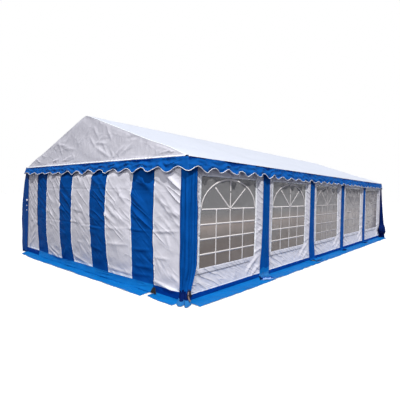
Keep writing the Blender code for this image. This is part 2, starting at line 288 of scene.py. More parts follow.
# %% Dust group
dust_group, taken, given = new_group("ground_dust", ("Vector", "Reach"), ("Mask",))
height = add_node(dust_group, "SeparateXYZ", {0: taken["Vector"]}).outputs[2]
low = remap(dust_group, height, 0.0, taken["Reach"], 1.0, 0.0, "SMOOTHSTEP")
patchy = remap(dust_group, noise(dust_group, taken["Vector"], 9.0, 4.0)["Fac"], 0.35, 0.75)
plug(dust_group, given, {"Mask": do(dust_group, "MULTIPLY", low, patchy)})
print("dust group has", len(dust_group.nodes), "nodes")

# %% [markdown]
# ## The cloth finishes
# One function makes them all, because they differ only in colour, gloss and how creased they are. The
# table gives each one's name, colour, shade, roughness, gloss, depth of creases and pull, then its dust,
# where its folds fall quiet and the painted shade that darkens it towards the tent's left side. A piece
# asks for its finishes by their names.
# The base colour drifts a little with the creases and turns dusty near the ground. Three bumps lie on
# each other: the net of creases, the pulled folds and the weave.

# %% Cloth finishes
TAPES_PER_METRE = 330.0
CREASES_PER_METRE = 4.0
DUST_REACH = 0.45
WEAVE_DEPTH = 0.0003


def cloth_finish(name, colour, shade, roughness, gloss, crease_depth, pull, dust=0.0, quiet=-1.0, painted_left_shade=1.0):
    """A coated cloth: colour where it is clean and full, shade where the tone of the creases is low.
    Pull is the lean of its folds, how close they come along and across the pull, and their depth. The
    last argument is painted shade: the share of its brightness that the cloth keeps towards the tent's
    left side."""
    _, tree, shader = new_finish(name, (*colour, 1.0), gloss)
    where = add_node(tree, "TexCoord").outputs
    lean, along, across, fold_depth = pull

    def use(group, place, numbers):
        """The outputs of a shared group that reads one kind of coordinates and some numbers."""
        return add_node(tree, "Group", {"Vector": where[place], **numbers}, node_tree=group).outputs

    weave = use(weave_group, "UV", {"Tapes per metre": TAPES_PER_METRE})
    bag = use(crease_group, "Object", {"Creases per metre": CREASES_PER_METRE})
    pulled = use(pull_group, "UV", {"Lean": lean, "Along": along, "Across": across, "Quiet": quiet})
    dirt = use(dust_group, "Object", {"Reach": DUST_REACH})
    tone = do(tree, "MULTIPLY_ADD", weave["Tone"], 0.15, do(tree, "MULTIPLY", bag["Tone"], 1.1))
    body = mix(tree, tone, shade, colour)
    # Painted shade: the colour is multiplied down towards the tent's left side.
    if painted_left_shade < 1.0:
        painted_shade_across = add_node(tree, "SeparateXYZ", {0: where["Object"]}).outputs[0]
        body = mix(tree, 1.0, body, remap(tree, painted_shade_across, -0.4, 2.0, painted_left_shade, 1.0), blend_type="MULTIPLY")
    dusty = [0.6 * channel + 0.12 for channel in colour]
    final = mix(tree, do(tree, "MULTIPLY", dirt["Mask"], dust), body, dusty)
    normal = bump(tree, bag["Height"], crease_depth)
    normal = bump(tree, pulled["Height"], fold_depth, Normal=normal)
    normal = bump(tree, weave["Height"], WEAVE_DEPTH, 0.5, Normal=normal)
    rough = do(tree, "MULTIPLY_ADD", bag["Tone"], 0.2, roughness - 0.1)
    plug(tree, shader, {"Base Color": final, "Roughness": rough, "Normal": normal})


USUAL = (-0.6, 1.5, 9.0, 0.012)
LEVEL = (0.0, 1.4, 7.0, 0.010)
UPRIGHT = (1.57, 0.6, 12.0, 0.010)
LEANING = (-0.62, 0.9, 6.5, 0.015)
# The last number of white_wall and blue_wall is painted shade towards the tent's left side.
CLOTHS = (
    ("white_roof", (0.73, 0.77, 0.85), (0.70, 0.74, 0.83), 0.5, 0.3, 0.004, (0.9, 0.8, 3.0, 0.003)),
    ("white_wall", (0.78, 0.77, 0.84), (0.71, 0.70, 0.77), 0.5, 0.3, 0.004, LEANING, 0.3, 0.80, 0.85),
    ("white_side", (0.70, 0.70, 0.77), (0.60, 0.60, 0.68), 0.5, 0.3, 0.004, (-0.5, 1.8, 10.0, 0.012), 0.3),
    ("white_gable", (0.80, 0.79, 0.86), (0.74, 0.73, 0.80), 0.5, 0.3, 0.005, (1.45, 1.4, 7.0, 0.005)),
    ("seam_grey", (0.22, 0.22, 0.26), (0.16, 0.16, 0.20), 0.5, 0.3, 0.001, USUAL),
    ("white_tape", (0.96, 0.97, 1.0), (0.93, 0.95, 1.0), 0.5, 0.3, 0.001, USUAL),
    ("blue_wall", (0.005, 0.096, 0.40), (0.001, 0.058, 0.29), 0.4, 0.004, 0.004, LEANING, 0.0, 0.80, 0.85),
    ("blue_edge", (0.006, 0.118, 0.44), (0.002, 0.070, 0.33), 0.40, 0.03, 0.006, LEVEL),
    ("blue_wrap", (0.004, 0.098, 0.41), (0.001, 0.058, 0.28), 0.36, 0.004, 0.005, UPRIGHT),
    # A darker copy of the wraps' blue: painted shade for the front-left wrap.
    ("wrap_in_painted_shade", (0.012, 0.072, 0.29), (0.004, 0.034, 0.19), 0.4, 0.02, 0.005, UPRIGHT),
    # A darker blue: the foot bands, partly painted shade, and painted shade on the valances and one cover.
    ("blue_band_and_painted_shade", (0.002, 0.062, 0.33), (0.001, 0.028, 0.20), 0.4, 0.01, 0.005, LEVEL),
    # Navy: the zips' own colour, and painted shade on the valances, covers and wraps.
    ("navy_and_painted_shade", (0.002, 0.014, 0.11), (0.001, 0.008, 0.07), 0.45, 0.02, 0.005, UPRIGHT),
    # The skirts' azure, also painted light on the door's foot and on the feet of two covers.
    ("azure_and_painted_light", (0.006, 0.185, 0.55), (0.003, 0.125, 0.42), 0.42, 0.03, 0.006, (0.1, 1.2, 11.0, 0.007)),
    # A paler azure, painted highlight on the first cover's cuff and the near wrap's lobes.
    ("azure_painted_highlight", (0.034, 0.205, 0.51), (0.008, 0.108, 0.34), 0.42, 0.06, 0.016, (1.3, 2.0, 12.0, 0.016)),
    # A pale lilac blue, painted highlight on the rolled rim of the first cover.
    ("rim_painted_highlight", (0.27, 0.43, 0.80), (0.17, 0.33, 0.68), 0.42, 0.1, 0.008, UPRIGHT),
)
for values in CLOTHS:
    cloth_finish(*values)
print("cloth finishes:", [name for name, *_ in CLOTHS])

# %% [markdown]
# ## Clear film, steel, black rubber
# The windows are a soft clear film that has gone a little smoky: it lets a part of the light
# straight through, which is what alpha does. The frame is galvanised steel, whose zinc has grown in
# crystals, and a Voronoi texture gives each crystal its own tone. The same texture, finer, gives
# rubber and webbing their specks.

# %% Film, steel and rubber finishes
FOLD_TINT, FOLD_LINE = (0.46, 0.37, 0.32), 0.95
FAR_GREY = (0.29, 0.27, 0.29)
FILM_WAVE = 0.012
GRAIN_DEPTH = 0.0006


def film_finish(name, low_colour, high_colour, alpha):
    """Smoky film. It is browner near the sill and lighter above, a painted stand-in for the ground and the
    greenery that show in it, with broad soft waves and a paler, warmer band where it was folded in the
    middle. Towards the far end its colour is mixed towards a flat grey."""
    _, tree, shader = new_finish(name, (*low_colour, alpha), 0.5, alpha)
    place = add_node(tree, "TexCoord").outputs["Object"]
    _, along, height = add_node(tree, "SeparateXYZ", {0: place}).outputs
    cloud = noise(tree, place, 1.7, 3.0, Roughness=0.6)["Fac"]
    # Browner below and lighter above: painted in for the surroundings that show in the film.
    rise = remap(tree, do(tree, "MULTIPLY_ADD", cloud, 0.9, height), 1.0, 1.75, ease="SMOOTHSTEP")
    from_fold = do(tree, "ABSOLUTE", do(tree, "SUBTRACT", height, FOLD_LINE))
    band = do(tree, "MULTIPLY", do(tree, "MULTIPLY_ADD", from_fold, -5.0, 1.0), cloud)
    colour = mix(tree, band, mix(tree, rise, low_colour, high_colour), FOLD_TINT)
    colour = mix(tree, remap(tree, along, -2.0, 3.5, 0.0, 0.75), colour, FAR_GREY)
    normal = bump(tree, noise(tree, place, 6.0, 1.0)["Fac"], FILM_WAVE)
    rough = do(tree, "MULTIPLY_ADD", cloud, 0.2, 0.15)
    plug(tree, shader, {"Base Color": colour, "Roughness": rough, "Normal": normal})


def hard_finish(name, colour, shade, roughness, metallic, scale, alpha=1.0):
    """A hard surface whose tone changes from one crystal or speck to the next. A fainter print has an
    alpha below 1."""
    _, tree, shader = new_finish(name, (*colour, 1.0), 0.5 if metallic else 0.12, alpha)
    place = add_node(tree, "TexCoord").outputs["Object"]
    grain = add_node(tree, "TexVoronoi", {"Vector": place, "Scale": scale}).outputs["Distance"]
    rough, normal = do(tree, "MULTIPLY_ADD", grain, 0.2, roughness), bump(tree, grain, GRAIN_DEPTH, 0.5)
    plug(tree, shader, {"Base Color": mix(tree, grain, colour, shade), "Roughness": rough, "Normal": normal})
    plug(tree, shader, {"Metallic": metallic})


film_finish("window_film", (0.143, 0.114, 0.100), (0.232, 0.230, 0.230), 0.88)
HARD = (
    ("window_bar", (0.88, 0.84, 0.83), (0.78, 0.74, 0.73), 0.45, 0.0, 60.0),
    ("half_faint_bar", (0.80, 0.76, 0.76), (0.70, 0.66, 0.66), 0.45, 0.0, 60.0, 0.62),
    ("faint_bar", (0.72, 0.69, 0.70), (0.62, 0.59, 0.60), 0.45, 0.0, 60.0, 0.36),
    ("zinc_steel", (0.62, 0.63, 0.64), (0.42, 0.43, 0.44), 0.3, 1.0, 90.0),
    # Black rubber for toggles, buckle and zip flaps, and a painted shadow for the flap at the near corner.
    ("black_rubber_and_painted_shade", (0.012, 0.012, 0.013), (0.02, 0.02, 0.022), 0.55, 0.0, 300.0),
    ("strap_web", (0.25, 0.18, 0.17), (0.15, 0.11, 0.11), 0.6, 0.0, 400.0),
)
for values in HARD:
    hard_finish(*values)
print("film, bar, steel, rubber and strap finishes made")

# %% [markdown]
# ## Turning grids into meshes
# A sheet is a grid of points. Its faces follow from counting: each cell's four corners, taken so
# that the columns crossed with the rows point outwards. Whole arrays go to the mesh at once.

# %% Mesh helpers


def grid_quads(rows, columns, wrap=False):
    """The cells of a grid as corner numbers; with wrap the last column joins the first."""
    corner = np.arange(rows * columns).reshape(rows, columns)
    if wrap:
        corner = np.concatenate([corner, corner[:, :1]], axis=1)
    return np.stack([corner[:-1, :-1], corner[:-1, 1:], corner[1:, 1:], corner[1:, :-1]], axis=-1)


def make_mesh(name, points, quads, measures=None, caps=None, marks=None):
    """A mesh from points, cells of four corners, flat measures in metres for the UV map, end caps and
    the number of the finish of each cell. Points that no cell uses are left out."""
    quads = quads.reshape(-1, 4)
    caps = np.zeros((0, 4), int) if caps is None else np.asarray(caps)
    order, corners = np.unique(np.concatenate([quads.ravel(), caps.ravel()]), return_inverse=True)
    corners = corners.ravel()
    mesh = bpy.data.meshes.new(name)
    mesh.vertices.add(len(order))
    mesh.vertices.foreach_set("co", points.reshape(-1, 3)[order].astype(np.float32).ravel())
    mesh.loops.add(len(corners))
    mesh.loops.foreach_set("vertex_index", corners.astype(np.int32))
    starts = np.arange(len(quads)) * 4
    ends = quads.size + np.arange(len(caps)) * caps.shape[1]
    mesh.polygons.add(len(quads) + len(caps))
    mesh.polygons.foreach_set("loop_start", np.concatenate([starts, ends]).astype(np.int32))
    mesh.polygons.foreach_set("use_smooth", np.ones(len(quads) + len(caps), bool))
    if marks is not None:
        mesh.polygons.foreach_set("material_index", marks.ravel().astype(np.int32))
    flat = points.reshape(-1, 3)[:, [0, 2]] if measures is None else measures.reshape(-1, 2)
    layer = mesh.uv_layers.new(name="flat_cloth")
    layer.uv.foreach_set("vector", flat[order][corners].astype(np.float32).ravel())
    mesh.update(calc_edges=True)
    mesh.validate()
    return mesh


def place_piece(mesh, finishes, slot, *nodes, thickness=0.0):
    """The object of a finished mesh, with the mesh's name and its finishes by their names. A thickness is
    added on the inner side of its faces. Every piece rides on the frame and may stand for solids. The
    slot is not used."""
    for finish in finishes:
        mesh.materials.append(bpy.data.materials[finish])
    piece = put(mesh.name, mesh)
    if thickness:
        wall = piece.modifiers.new("thickness", "SOLIDIFY")
        wall.thickness = thickness
        wall.offset = -1.0
    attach(piece, "root")
    if nodes:
        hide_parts(*nodes)
    return piece


def cloth_piece(name, points, flat, finishes, thickness, slot, *nodes, marks=None, keep=None):
    """A piece of cloth from its grid of points. Flat is where each point lies on the flat cloth, and marks
    is the number of each cell's finish. Where keep is given, only the cells that it says are kept."""
    cells = grid_quads(*points.shape[:2])
    if keep is not None:
        cells, marks = cells[keep], marks[keep]
    measures = np.stack(np.broadcast_arrays(*flat), axis=-1)
    mesh = make_mesh(name, points, cells, measures, marks=marks)
    return place_piece(mesh, finishes, slot, *nodes, thickness=thickness)


# %% [markdown]
# ## Standing on a wall
# All four walls are alike, so a wall is worked out once in its own measures: across it, out from
# the tent's middle, and up. Turning those measures round the tent puts the wall on any side.

# %% Wall measures


def stand(side, across, out, up):
    """Across runs to the right as seen from outside the front, and turns with the wall."""
    across, out, up = np.broadcast_arrays(across, out, up)
    plan = {"front": (across, -out), "right": (out, across), "back": (-across, out), "left": (-out, -across)}
    return np.stack([*plan[side], up], axis=-1)


def outward(side):
    """The direction that points away from the tent."""
    return stand(side, 0.0, 1.0, 0.0)


def lines(stops, step):
    """Grid lines through all the stops, about a step apart."""
    runs = []
    for low, high in zip(stops[:-1], stops[1:]):
        count = max(1, round((high - low) / step))
        runs.append(np.linspace(low, high, count, endpoint=False))
    return np.concatenate([*runs, [stops[-1]]])


def halfway(stops):
    """The middle of each gap between neighbours, which is where a cell lies."""
    return (stops[:-1] + stops[1:]) / 2


def smooth(low, high, value):
    """0 below low and 1 above high, with t t (3 - 2 t) between, where t is the share of the way."""
    t = np.clip((value - low) / (high - low), 0.0, 1.0)
    return t * t * (3.0 - 2.0 * t)


def hill(value, middle, width):
    """A rounded hill: exp(-((value - middle) / width)^2)."""
    return np.exp(-(((value - middle) / width) ** 2))


# %% [markdown]
# ## How hung cloth moves off its plane
# Three things push the cloth about. Billows are slow waves: a sum of sine waves in random
# directions. Folds are tension lines between the places that pull: each is a ridge with a shallow
# valley on both sides. Seams hold the cloth, so it puffs a little between them.

# %% Billows and folds


def billow(across, up, seed, wave, count=8):
    """Sum of sin(2 pi (across cos + up sin) / length + phase), scaled so that its spread is about 1."""
    rng = np.random.default_rng(seed)
    total = np.zeros(np.broadcast(across, up).shape)
    for _ in range(count):
        angle, phase = rng.uniform(0, 2 * math.pi, 2)
        length = wave * rng.uniform(0.6, 1.6)
        total += np.sin(2 * math.pi * (across * math.cos(angle) + up * math.sin(angle)) / length + phase)
    return total / math.sqrt(count / 2)


def folds(across, up, rows):
    """Each row is (across, up) at both ends, width and height. With s the distance from the line over
    the width, r = sqrt(s s + 0.1) - 0.316 and t the share of its length, a fold adds
    height (1 - 1.1 r) exp(-1.1 r) (1 - (2 t - 1)^2), a rounded ridge with a shallow valley each side."""
    total = np.zeros(np.broadcast(across, up).shape)
    for a0, u0, a1, u1, width, height in rows:
        run, rise = a1 - a0, u1 - u0
        long = math.hypot(run, rise)
        t = ((across - a0) * run + (up - u0) * rise) / long**2
        s = ((across - a0) * rise - (up - u0) * run) / (long * width)
        r = np.sqrt(s * s + 0.1) - 0.316
        total += height * np.clip(1 - (2 * t - 1) ** 2, 0, 1) * (1 - 1.1 * r) * np.exp(-1.1 * r)
    return total


def scattered_folds(seed, count, low, high, lean, reach, width, height):
    """Random folds in a box from low to high: lean is the usual slope in radians and how far it varies."""
    rng = np.random.default_rng(seed)
    rows = []
    for _ in range(count):
        a, u = rng.uniform(low, high)
        angle = rng.normal(*lean)
        half = rng.uniform(0.5, 1.0) * reach / 2
        turn = (half * math.cos(angle), half * math.sin(angle))
        size = rng.uniform(0.5, 1.0)
        swing = height * rng.uniform(0.4, 1.0) * rng.choice([-1, 1])
        rows.append((a - turn[0], u - turn[1], a + turn[0], u + turn[1], width * size, swing))
    return rows


def mirrored(rows):
    """The same folds with left and right changed over, for the back of the tent."""
    return [(-a0, u0, -a1, u1, width, height) for a0, u0, a1, u1, width, height in rows]


# %% [markdown]
# ## The roof
# The roof cover is one sheet of white cloth over the ridge, pulled down at the eaves. Between two
# frames it hangs a little, and over each frame it is drawn into a crest. It is built as a height over
# the plan and not simulated, because a tight roof hardly moves. At both ends it reaches a little over
# the wall and its hem turns down.

# %% Roof cloth
RIDGE_ROUND = 0.05
ROOF_SAG = 0.028
ROOF_OVER, ROOF_LIP, ROOF_HEM = 0.0065, 0.002, 0.012
CROWN_RISE, CROWN_PLACE, CROWN_WIDE = 0.018, 2.1, 0.24


def roof_height(across, along):
    """RIDGE less the fall, which is (sqrt(x x + r r) - r) scaled to reach the eave, plus a low crown
    where the frame bends, less the sag of each bay: depth times |sin| along it times sin up the slope."""
    run = np.abs(across)
    fall = np.sqrt(run**2 + RIDGE_ROUND**2) - RIDGE_ROUND
    full = math.hypot(ROOF_EDGE, RIDGE_ROUND) - RIDGE_ROUND
    between = np.abs(np.sin(math.pi * (along + END_FACE) / BAY))
    slack = np.sin(math.pi * np.clip(run / ROOF_EDGE, 0, 1))
    ripple = 0.0035 * billow(across * 0.5, along, 5, 0.55) + 0.002 * billow(across, along * 0.4, 6, 0.3)
    crown = CROWN_RISE * hill(run, CROWN_PLACE, CROWN_WIDE)
    return RIDGE - (RIDGE - EAVE) * fall / full + crown - slack * between * (ROOF_SAG + ripple)


right_half = lines([ROOF_EDGE, 0.0], -0.055)
across = np.concatenate([right_half, -right_half[-2::-1]])[:, None]
ends = END_FACE + ROOF_OVER
inside = lines([-END_FACE, *POST_LINES, END_FACE], 0.05)
along = np.concatenate([[-ends, -ends], inside, [ends, ends]])[None, :]
drop = np.zeros(along.shape)
drop[0, [0, -1]] = ROOF_HEM
drop[0, [1, -2]] = ROOF_LIP
height = roof_height(across, np.clip(along, -END_FACE, END_FACE)) - drop
hems = np.zeros((height.shape[0] - 1, height.shape[1] - 1), int)
hems[:, [0, 1, -2, -1]] = 1
points = np.stack(np.broadcast_arrays(across, along, height), axis=-1)
roof_cloth = cloth_piece("roof_cloth", points, (across, along), ["white_roof", "white_tape"], THICK_CLOTH,
                         "white_cloth", "roof_cover", marks=hems)
print("roof cells:", len(roof_cloth.data.polygons))

# %% [markdown]
# ## The gables
# A white triangle closes each end under the roof. It came out of the bag crumpled and nothing pulls
# it flat, so it keeps its creases. Its top edge follows the roof cloth, and a padded hem runs along
# its foot and catches the sun. Each row of the table is one fold that can be told apart: where it
# starts and ends, across and up, then its width and its height.

# %% Gable cloth
GABLE_FOOT = 1.881
GABLE_OUT = END_FACE + 0.0056
GABLE_HALF = 2.5
PEAK_CREASE = -0.086
GABLE_SEWN = 1.922
GABLE_UNDER = 0.006
HEM_RINGS = 160
HEM_PROFILE = np.array([(0.0035, 1.923), (0.013, 1.920), (0.021, 1.911), (0.0235, 1.902), (0.012, 1.9005),
                        (0.0035, 1.903)])
GABLE_FOLDS = [
    (0.20, 2.60, -0.01, 2.37, 0.035, 0.008),
    (0.10, 2.40, 0.34, 2.15, 0.040, 0.010),
    (0.24, 2.55, 0.42, 2.28, 0.035, 0.007),
    (0.34, 2.17, 0.80, 1.95, 0.040, 0.011),
    (0.65, 2.50, 0.80, 2.24, 0.030, 0.010),
    (0.56, 2.36, 0.34, 2.20, 0.030, 0.008),
    (0.28, 2.25, 0.70, 2.20, 0.025, 0.008),
    (0.56, 2.22, 0.68, 2.02, 0.030, 0.008),
    (0.84, 1.96, 1.16, 2.15, 0.035, 0.009),
    (0.95, 1.96, 1.38, 2.16, 0.035, 0.007),
    (0.76, 2.12, 0.88, 1.94, 0.025, 0.008),
    (2.07, 1.970, 2.25, 2.017, 0.009, 0.011),
    (2.15, 1.962, 2.31, 1.996, 0.009, 0.011),
    (1.98, 1.960, 2.08, 1.995, 0.012, 0.005),
    (-1.62, 2.35, -1.58, 2.12, 0.024, 0.006),
    (-1.50, 2.42, -1.46, 2.16, 0.024, 0.006),
    (-1.30, 1.985, -0.98, 2.03, 0.022, 0.010),
    (-0.90, 1.990, -0.50, 2.00, 0.020, 0.009),
    (-2.30, 2.02, -2.20, 1.95, 0.020, 0.009),
    (-0.86, 2.00, -0.46, 2.06, 0.035, 0.009),
    (-1.09, 2.33, -0.56, 2.24, 0.040, 0.008),
    (-0.48, 2.55, -0.76, 2.29, 0.035, 0.007),
    (-1.03, 2.42, -0.83, 2.06, 0.035, 0.008),
    (-1.87, 2.19, -1.50, 2.08, 0.035, 0.007),
    (-2.07, 2.10, -1.76, 1.98, 0.030, 0.007),
    (-0.80, 2.23, -0.36, 2.18, 0.030, 0.008),
    (-0.08, 2.66, -0.08, 1.95, 0.012, 0.003),
]


def gable_piece(side, seed, own_folds):
    """A triangle whose rows share out the height between its foot and the underside of the roof."""
    across = lines([-GABLE_HALF, PEAK_CREASE, 0.0, GABLE_HALF], 0.022)[None, :]
    share = np.linspace(0, 1, 44)[:, None]
    top = roof_height(across, np.full(across.shape, END_FACE)) - GABLE_UNDER
    up = GABLE_FOOT + share * (top - GABLE_FOOT)
    rows = own_folds + scattered_folds(seed, 46, (-1.6, 1.95), (1.6, 2.6), (1.2, 1.0), 0.34, 0.03, 0.005)
    free = smooth(0.0, 0.05, top - up) * smooth(0.0, 0.05, up - GABLE_SEWN)
    push = free * (1.35 * folds(across, up, rows) + 0.004 * billow(across, up, seed, 0.5))
    points = stand(side, across, GABLE_OUT + np.clip(push, -0.005, 0.03), up)
    piece = cloth_piece(f"{side}_gable_cloth", points, (across, up), ["white_gable"], THICK_CLOTH,
                        "white_cloth", f"{side}_gable")
    return piece


def gable_hem(side):
    """A closed profile carried across the gable: its ends lean with the roof's slope."""
    out, up = END_FACE + HEM_PROFILE[:, 0][None, :], HEM_PROFILE[:, 1][None, :]
    half = ROOF_EDGE - GABLE_UNDER - (up - EAVE) / ((RIDGE - EAVE) / ROOF_EDGE)
    across = np.linspace(-1, 1, HEM_RINGS)[:, None] * half
    wobble = 0.0015 * billow(across, 0 * across, 31, 0.4)
    points = stand(side, across, out, up + wobble * (up - EAVE) / 0.028)
    rows, columns = across.shape
    caps = np.array([np.arange(columns)[::-1], (rows - 1) * columns + np.arange(columns)])
    mesh = make_mesh(f"{side}_gable_hem", points, grid_quads(rows, columns, wrap=True), caps=caps)
    return place_piece(mesh, ["white_tape"], "white_cloth", f"{side}_gable")


gable_piece("front", 11, GABLE_FOLDS)
gable_piece("back", 12, mirrored(GABLE_FOLDS))
for side in ENDS:
    gable_hem(side)
print("gables made with", len(GABLE_FOLDS), "folds of their own")

# %% [markdown]
# ## The scalloped valance
# A blue strip hangs from the eave all the way round. Its lower edge is cut in waves and bound with
# white piping. It is short and free at its foot, so the waves curl outwards by different amounts.
# At the corners the two strips flare by the same amount, which keeps the corner closed.

# %% The edge and the curl of a valance
VALANCE_LOW, VALANCE_HIGH = 1.712, 1.778
CORNER_FLARE = 0.030


def valance_edge(side, across, half, waves, seed):
    """Lower edge: middle less swing times cos(2 pi waves s), with s the share across; tips at corners.
    Slow waves of 5 mm make it uneven. The left half of the front has shrunk: there it is 16 mm
    shorter and its waves are half as deep, and its corner is drawn up by 30 mm more. Down the long sides
    the waves are shallower behind the first bay."""
    share = (across + half) / (2 * half)
    middle, swing = (VALANCE_LOW + VALANCE_HIGH) / 2, (VALANCE_HIGH - VALANCE_LOW) / 2
    inward = smooth(0.0, 0.3, half - np.abs(across))
    near_left = {"front": half + across, "left": half - across}.get(side, np.full(across.shape, 9.0))
    shrunk = smooth(half + 0.2, half - 1.3, near_left) if side == "front" else smooth(0.5, 0.0, near_left)
    uneven = 0.005 * inward * billow(across, 0 * across, seed + 9, 0.5) + 0.03 * smooth(0.30, 0.0, near_left)
    from_front = {"right": half + across, "left": half - across}.get(side, np.zeros(across.shape))
    calm = 0.36 * smooth(1.9, 3.0, from_front) * smooth(0.0, 0.5, 2 * half - from_front)
    depth = swing * (1 - 0.5 * shrunk - calm)
    return middle + 0.016 * shrunk + uneven - swing * calm - depth * np.cos(2 * math.pi * waves * share)


def valance_out(across, share, half, waves, seed):
    """How far the strip stands out. It falls in under the roof's edge, then flares by a share of down
    to the power 1.2, more at some waves than at others. Creases run along it and across it. All but
    the flare fade out at the corners."""
    rng = np.random.default_rng(seed)
    down = 1 - share
    corner = 1 - smooth(0.0, 0.25, half - np.abs(across))
    strength = np.interp(across, np.linspace(-half, half, waves + 1), rng.uniform(0.2, 1.0, waves + 1))
    phase = 2 * math.pi * waves * (across + half) / (2 * half)
    curl = (0.030 + 0.026 * strength * (0.6 + 0.4 * np.cos(phase))) * down**1.2
    tuck = -0.011 * np.sin(math.pi * np.clip(down / 0.4, 0, 1)) * (0.5 + strength / 2)
    long_creases = 0.007 * np.sin(2 * math.pi * (share * 1.9 + 0.45 * billow(across, 0 * share, seed, 0.9)))
    wrinkles = 0.006 * billow(across, share * 0.35, seed + 1, 0.16)
    wrinkles = wrinkles + 0.006 * billow(across, share * 0.1, seed + 2, 0.42)
    loose = curl + tuck + smooth(0.0, 0.3, down) * (long_creases + wrinkles)
    return np.clip(loose * (1 - corner) + CORNER_FLARE * down**1.2 * corner, -0.010, 0.075)


# %% [markdown]
# ## Profiles carried along paths
# Piping, bars, zips, rings and a strap are all one small shape carried along a line. At every point
# of the line the shape stands square to it, and one side of it keeps facing a reference direction.

# %% Carried profiles


def carried(path, profile, reference, closed):
    """A profile (n, b) carried along a path: N is the reference made square to the path, B is T x N,
    and each ring is path + n N + b B."""
    path, profile = np.asarray(path, float), np.asarray(profile, float)
    step = np.roll(path, -1, 0) - np.roll(path, 1, 0) if closed else np.gradient(path, axis=0)
    tangent = step / np.linalg.norm(step, axis=1, keepdims=True)
    reference = np.broadcast_to(np.asarray(reference, float), path.shape)
    normal = reference - (reference * tangent).sum(1, keepdims=True) * tangent
    normal /= np.linalg.norm(normal, axis=1, keepdims=True)
    across = np.cross(tangent, normal)
    return path[:, None] + profile[None, :, :1] * normal[:, None] + profile[None, :, 1:] * across[:, None]


def carried_piece(name, runs, finish, slot, closed=False):
    """One piece of profiles carried along paths. A run is (path, reference, profile). A closed path joins
    its last ring to its first, and an open one has a cap at both ends."""
    points, quads, caps, start = [], [], [], 0
    for path, reference, profile in runs:
        rings = carried(path, profile, reference, closed)
        rows, columns = rings.shape[:2]
        first = start + np.arange(columns)
        last = first + (rows - 1) * columns
        points.append(rings.reshape(-1, 3))
        quads.append(grid_quads(rows, columns, wrap=True).reshape(-1, 4) + start)
        if closed:
            quads.append(np.stack([last, np.roll(last, -1), np.roll(first, -1), first], axis=-1))
        else:
            caps += [first[::-1], last]
        start += rows * columns
    caps = np.array(caps) if caps else None
    mesh = make_mesh(name, np.concatenate(points), np.concatenate(quads), caps=caps)
    return place_piece(mesh, [finish], slot)


def circle(count, radius=1.0):
    """Points round a circle, counted anticlockwise."""
    angle = np.arange(count) * 2 * math.pi / count
    return np.stack([radius * np.cos(angle), radius * np.sin(angle)], axis=1)


# %% [markdown]
# ## The four valances
# The strips at the ends are fixed under the hem roll, and those at the long sides to the roof's edge.
# Near the eave the cloth is in the shade of the roof and its folds look nearly black in patches, so a
# few rows of cells change to darker cloth where a slow wave is high.

# %% Valances and piping
VALANCE_FINISHES = ["blue_edge", "navy_and_painted_shade", "blue_band_and_painted_shade"]
EDGE_BLUE, SHADE_NAVY, SHADE_BLUE = range(3)
DARK_ROWS = ((-4, 1.5), (-3, 1.0), (-2, 0.3), (-1, -0.1))
PIPING_RADIUS = 0.0052


def valance_piece(side, seed):
    """A grid between the wavy lower edge and the eave, then its piping along the lowest row."""
    if side in ENDS:
        half, waves, face, top, cells = ROOF_EDGE, 14, END_FACE + 0.024, 1.8995, 22
    else:
        half, waves, face, top, cells = END_FACE + 0.0202, 30, ROOF_EDGE, 1.8958, 18
    across = np.linspace(-half, half, waves * cells + 1)[None, :]
    share = np.linspace(0, 1, 13)[:, None]
    edge = valance_edge(side, across, half, waves, seed)
    up = edge + share * (top - edge)
    out = valance_out(across, share, half, waves, seed)
    spread = across * (1 + out / half * smooth(0.25, 0.0, half - np.abs(across)))
    marks = np.full((share.size - 1, across.size - 1), EDGE_BLUE)
    patchy = billow(across[0, 1:], 0 * across[0, 1:], seed + 4, 0.7)
    # Painted shade: the top rows near the eave turn darker in patches.
    for row, least in DARK_ROWS:
        marks[row] = np.where(patchy > least, SHADE_BLUE, EDGE_BLUE)
    # Painted shade: down the long sides the top row is navy along most of its length, under the roof's edge.
    if side not in ENDS:
        marks[-1] = np.where(patchy > -0.6, SHADE_NAVY, marks[-1])
    piece = cloth_piece(f"{side}_valance_cloth", stand(side, spread, face + out, up), (across, up),
                        VALANCE_FINISHES, VALANCE_CLOTH, "blue_cloth", f"{side}_valance", marks=marks)
    path = stand(side, spread[0], face + out[0] - 0.001, up[0] - 0.003)
    run = (path, outward(side), circle(6, PIPING_RADIUS))
    trim = carried_piece(f"{side}_piping", [run], "white_tape", "white_cloth")


for number, side in enumerate(("front", "right", "back", "left")):
    valance_piece(side, 40 + 3 * number)
print("four valances with their piping")

# %% [markdown]
# ## The striped end walls
# Each end wall is three cloths joined by two zips: a wide door in the middle and a narrow fixed
# panel at each side. The stripes are separate widths of cloth sewn edge to edge, with a bright tape
# on each seam. The table holds the folds that can be told apart, as for the gables.

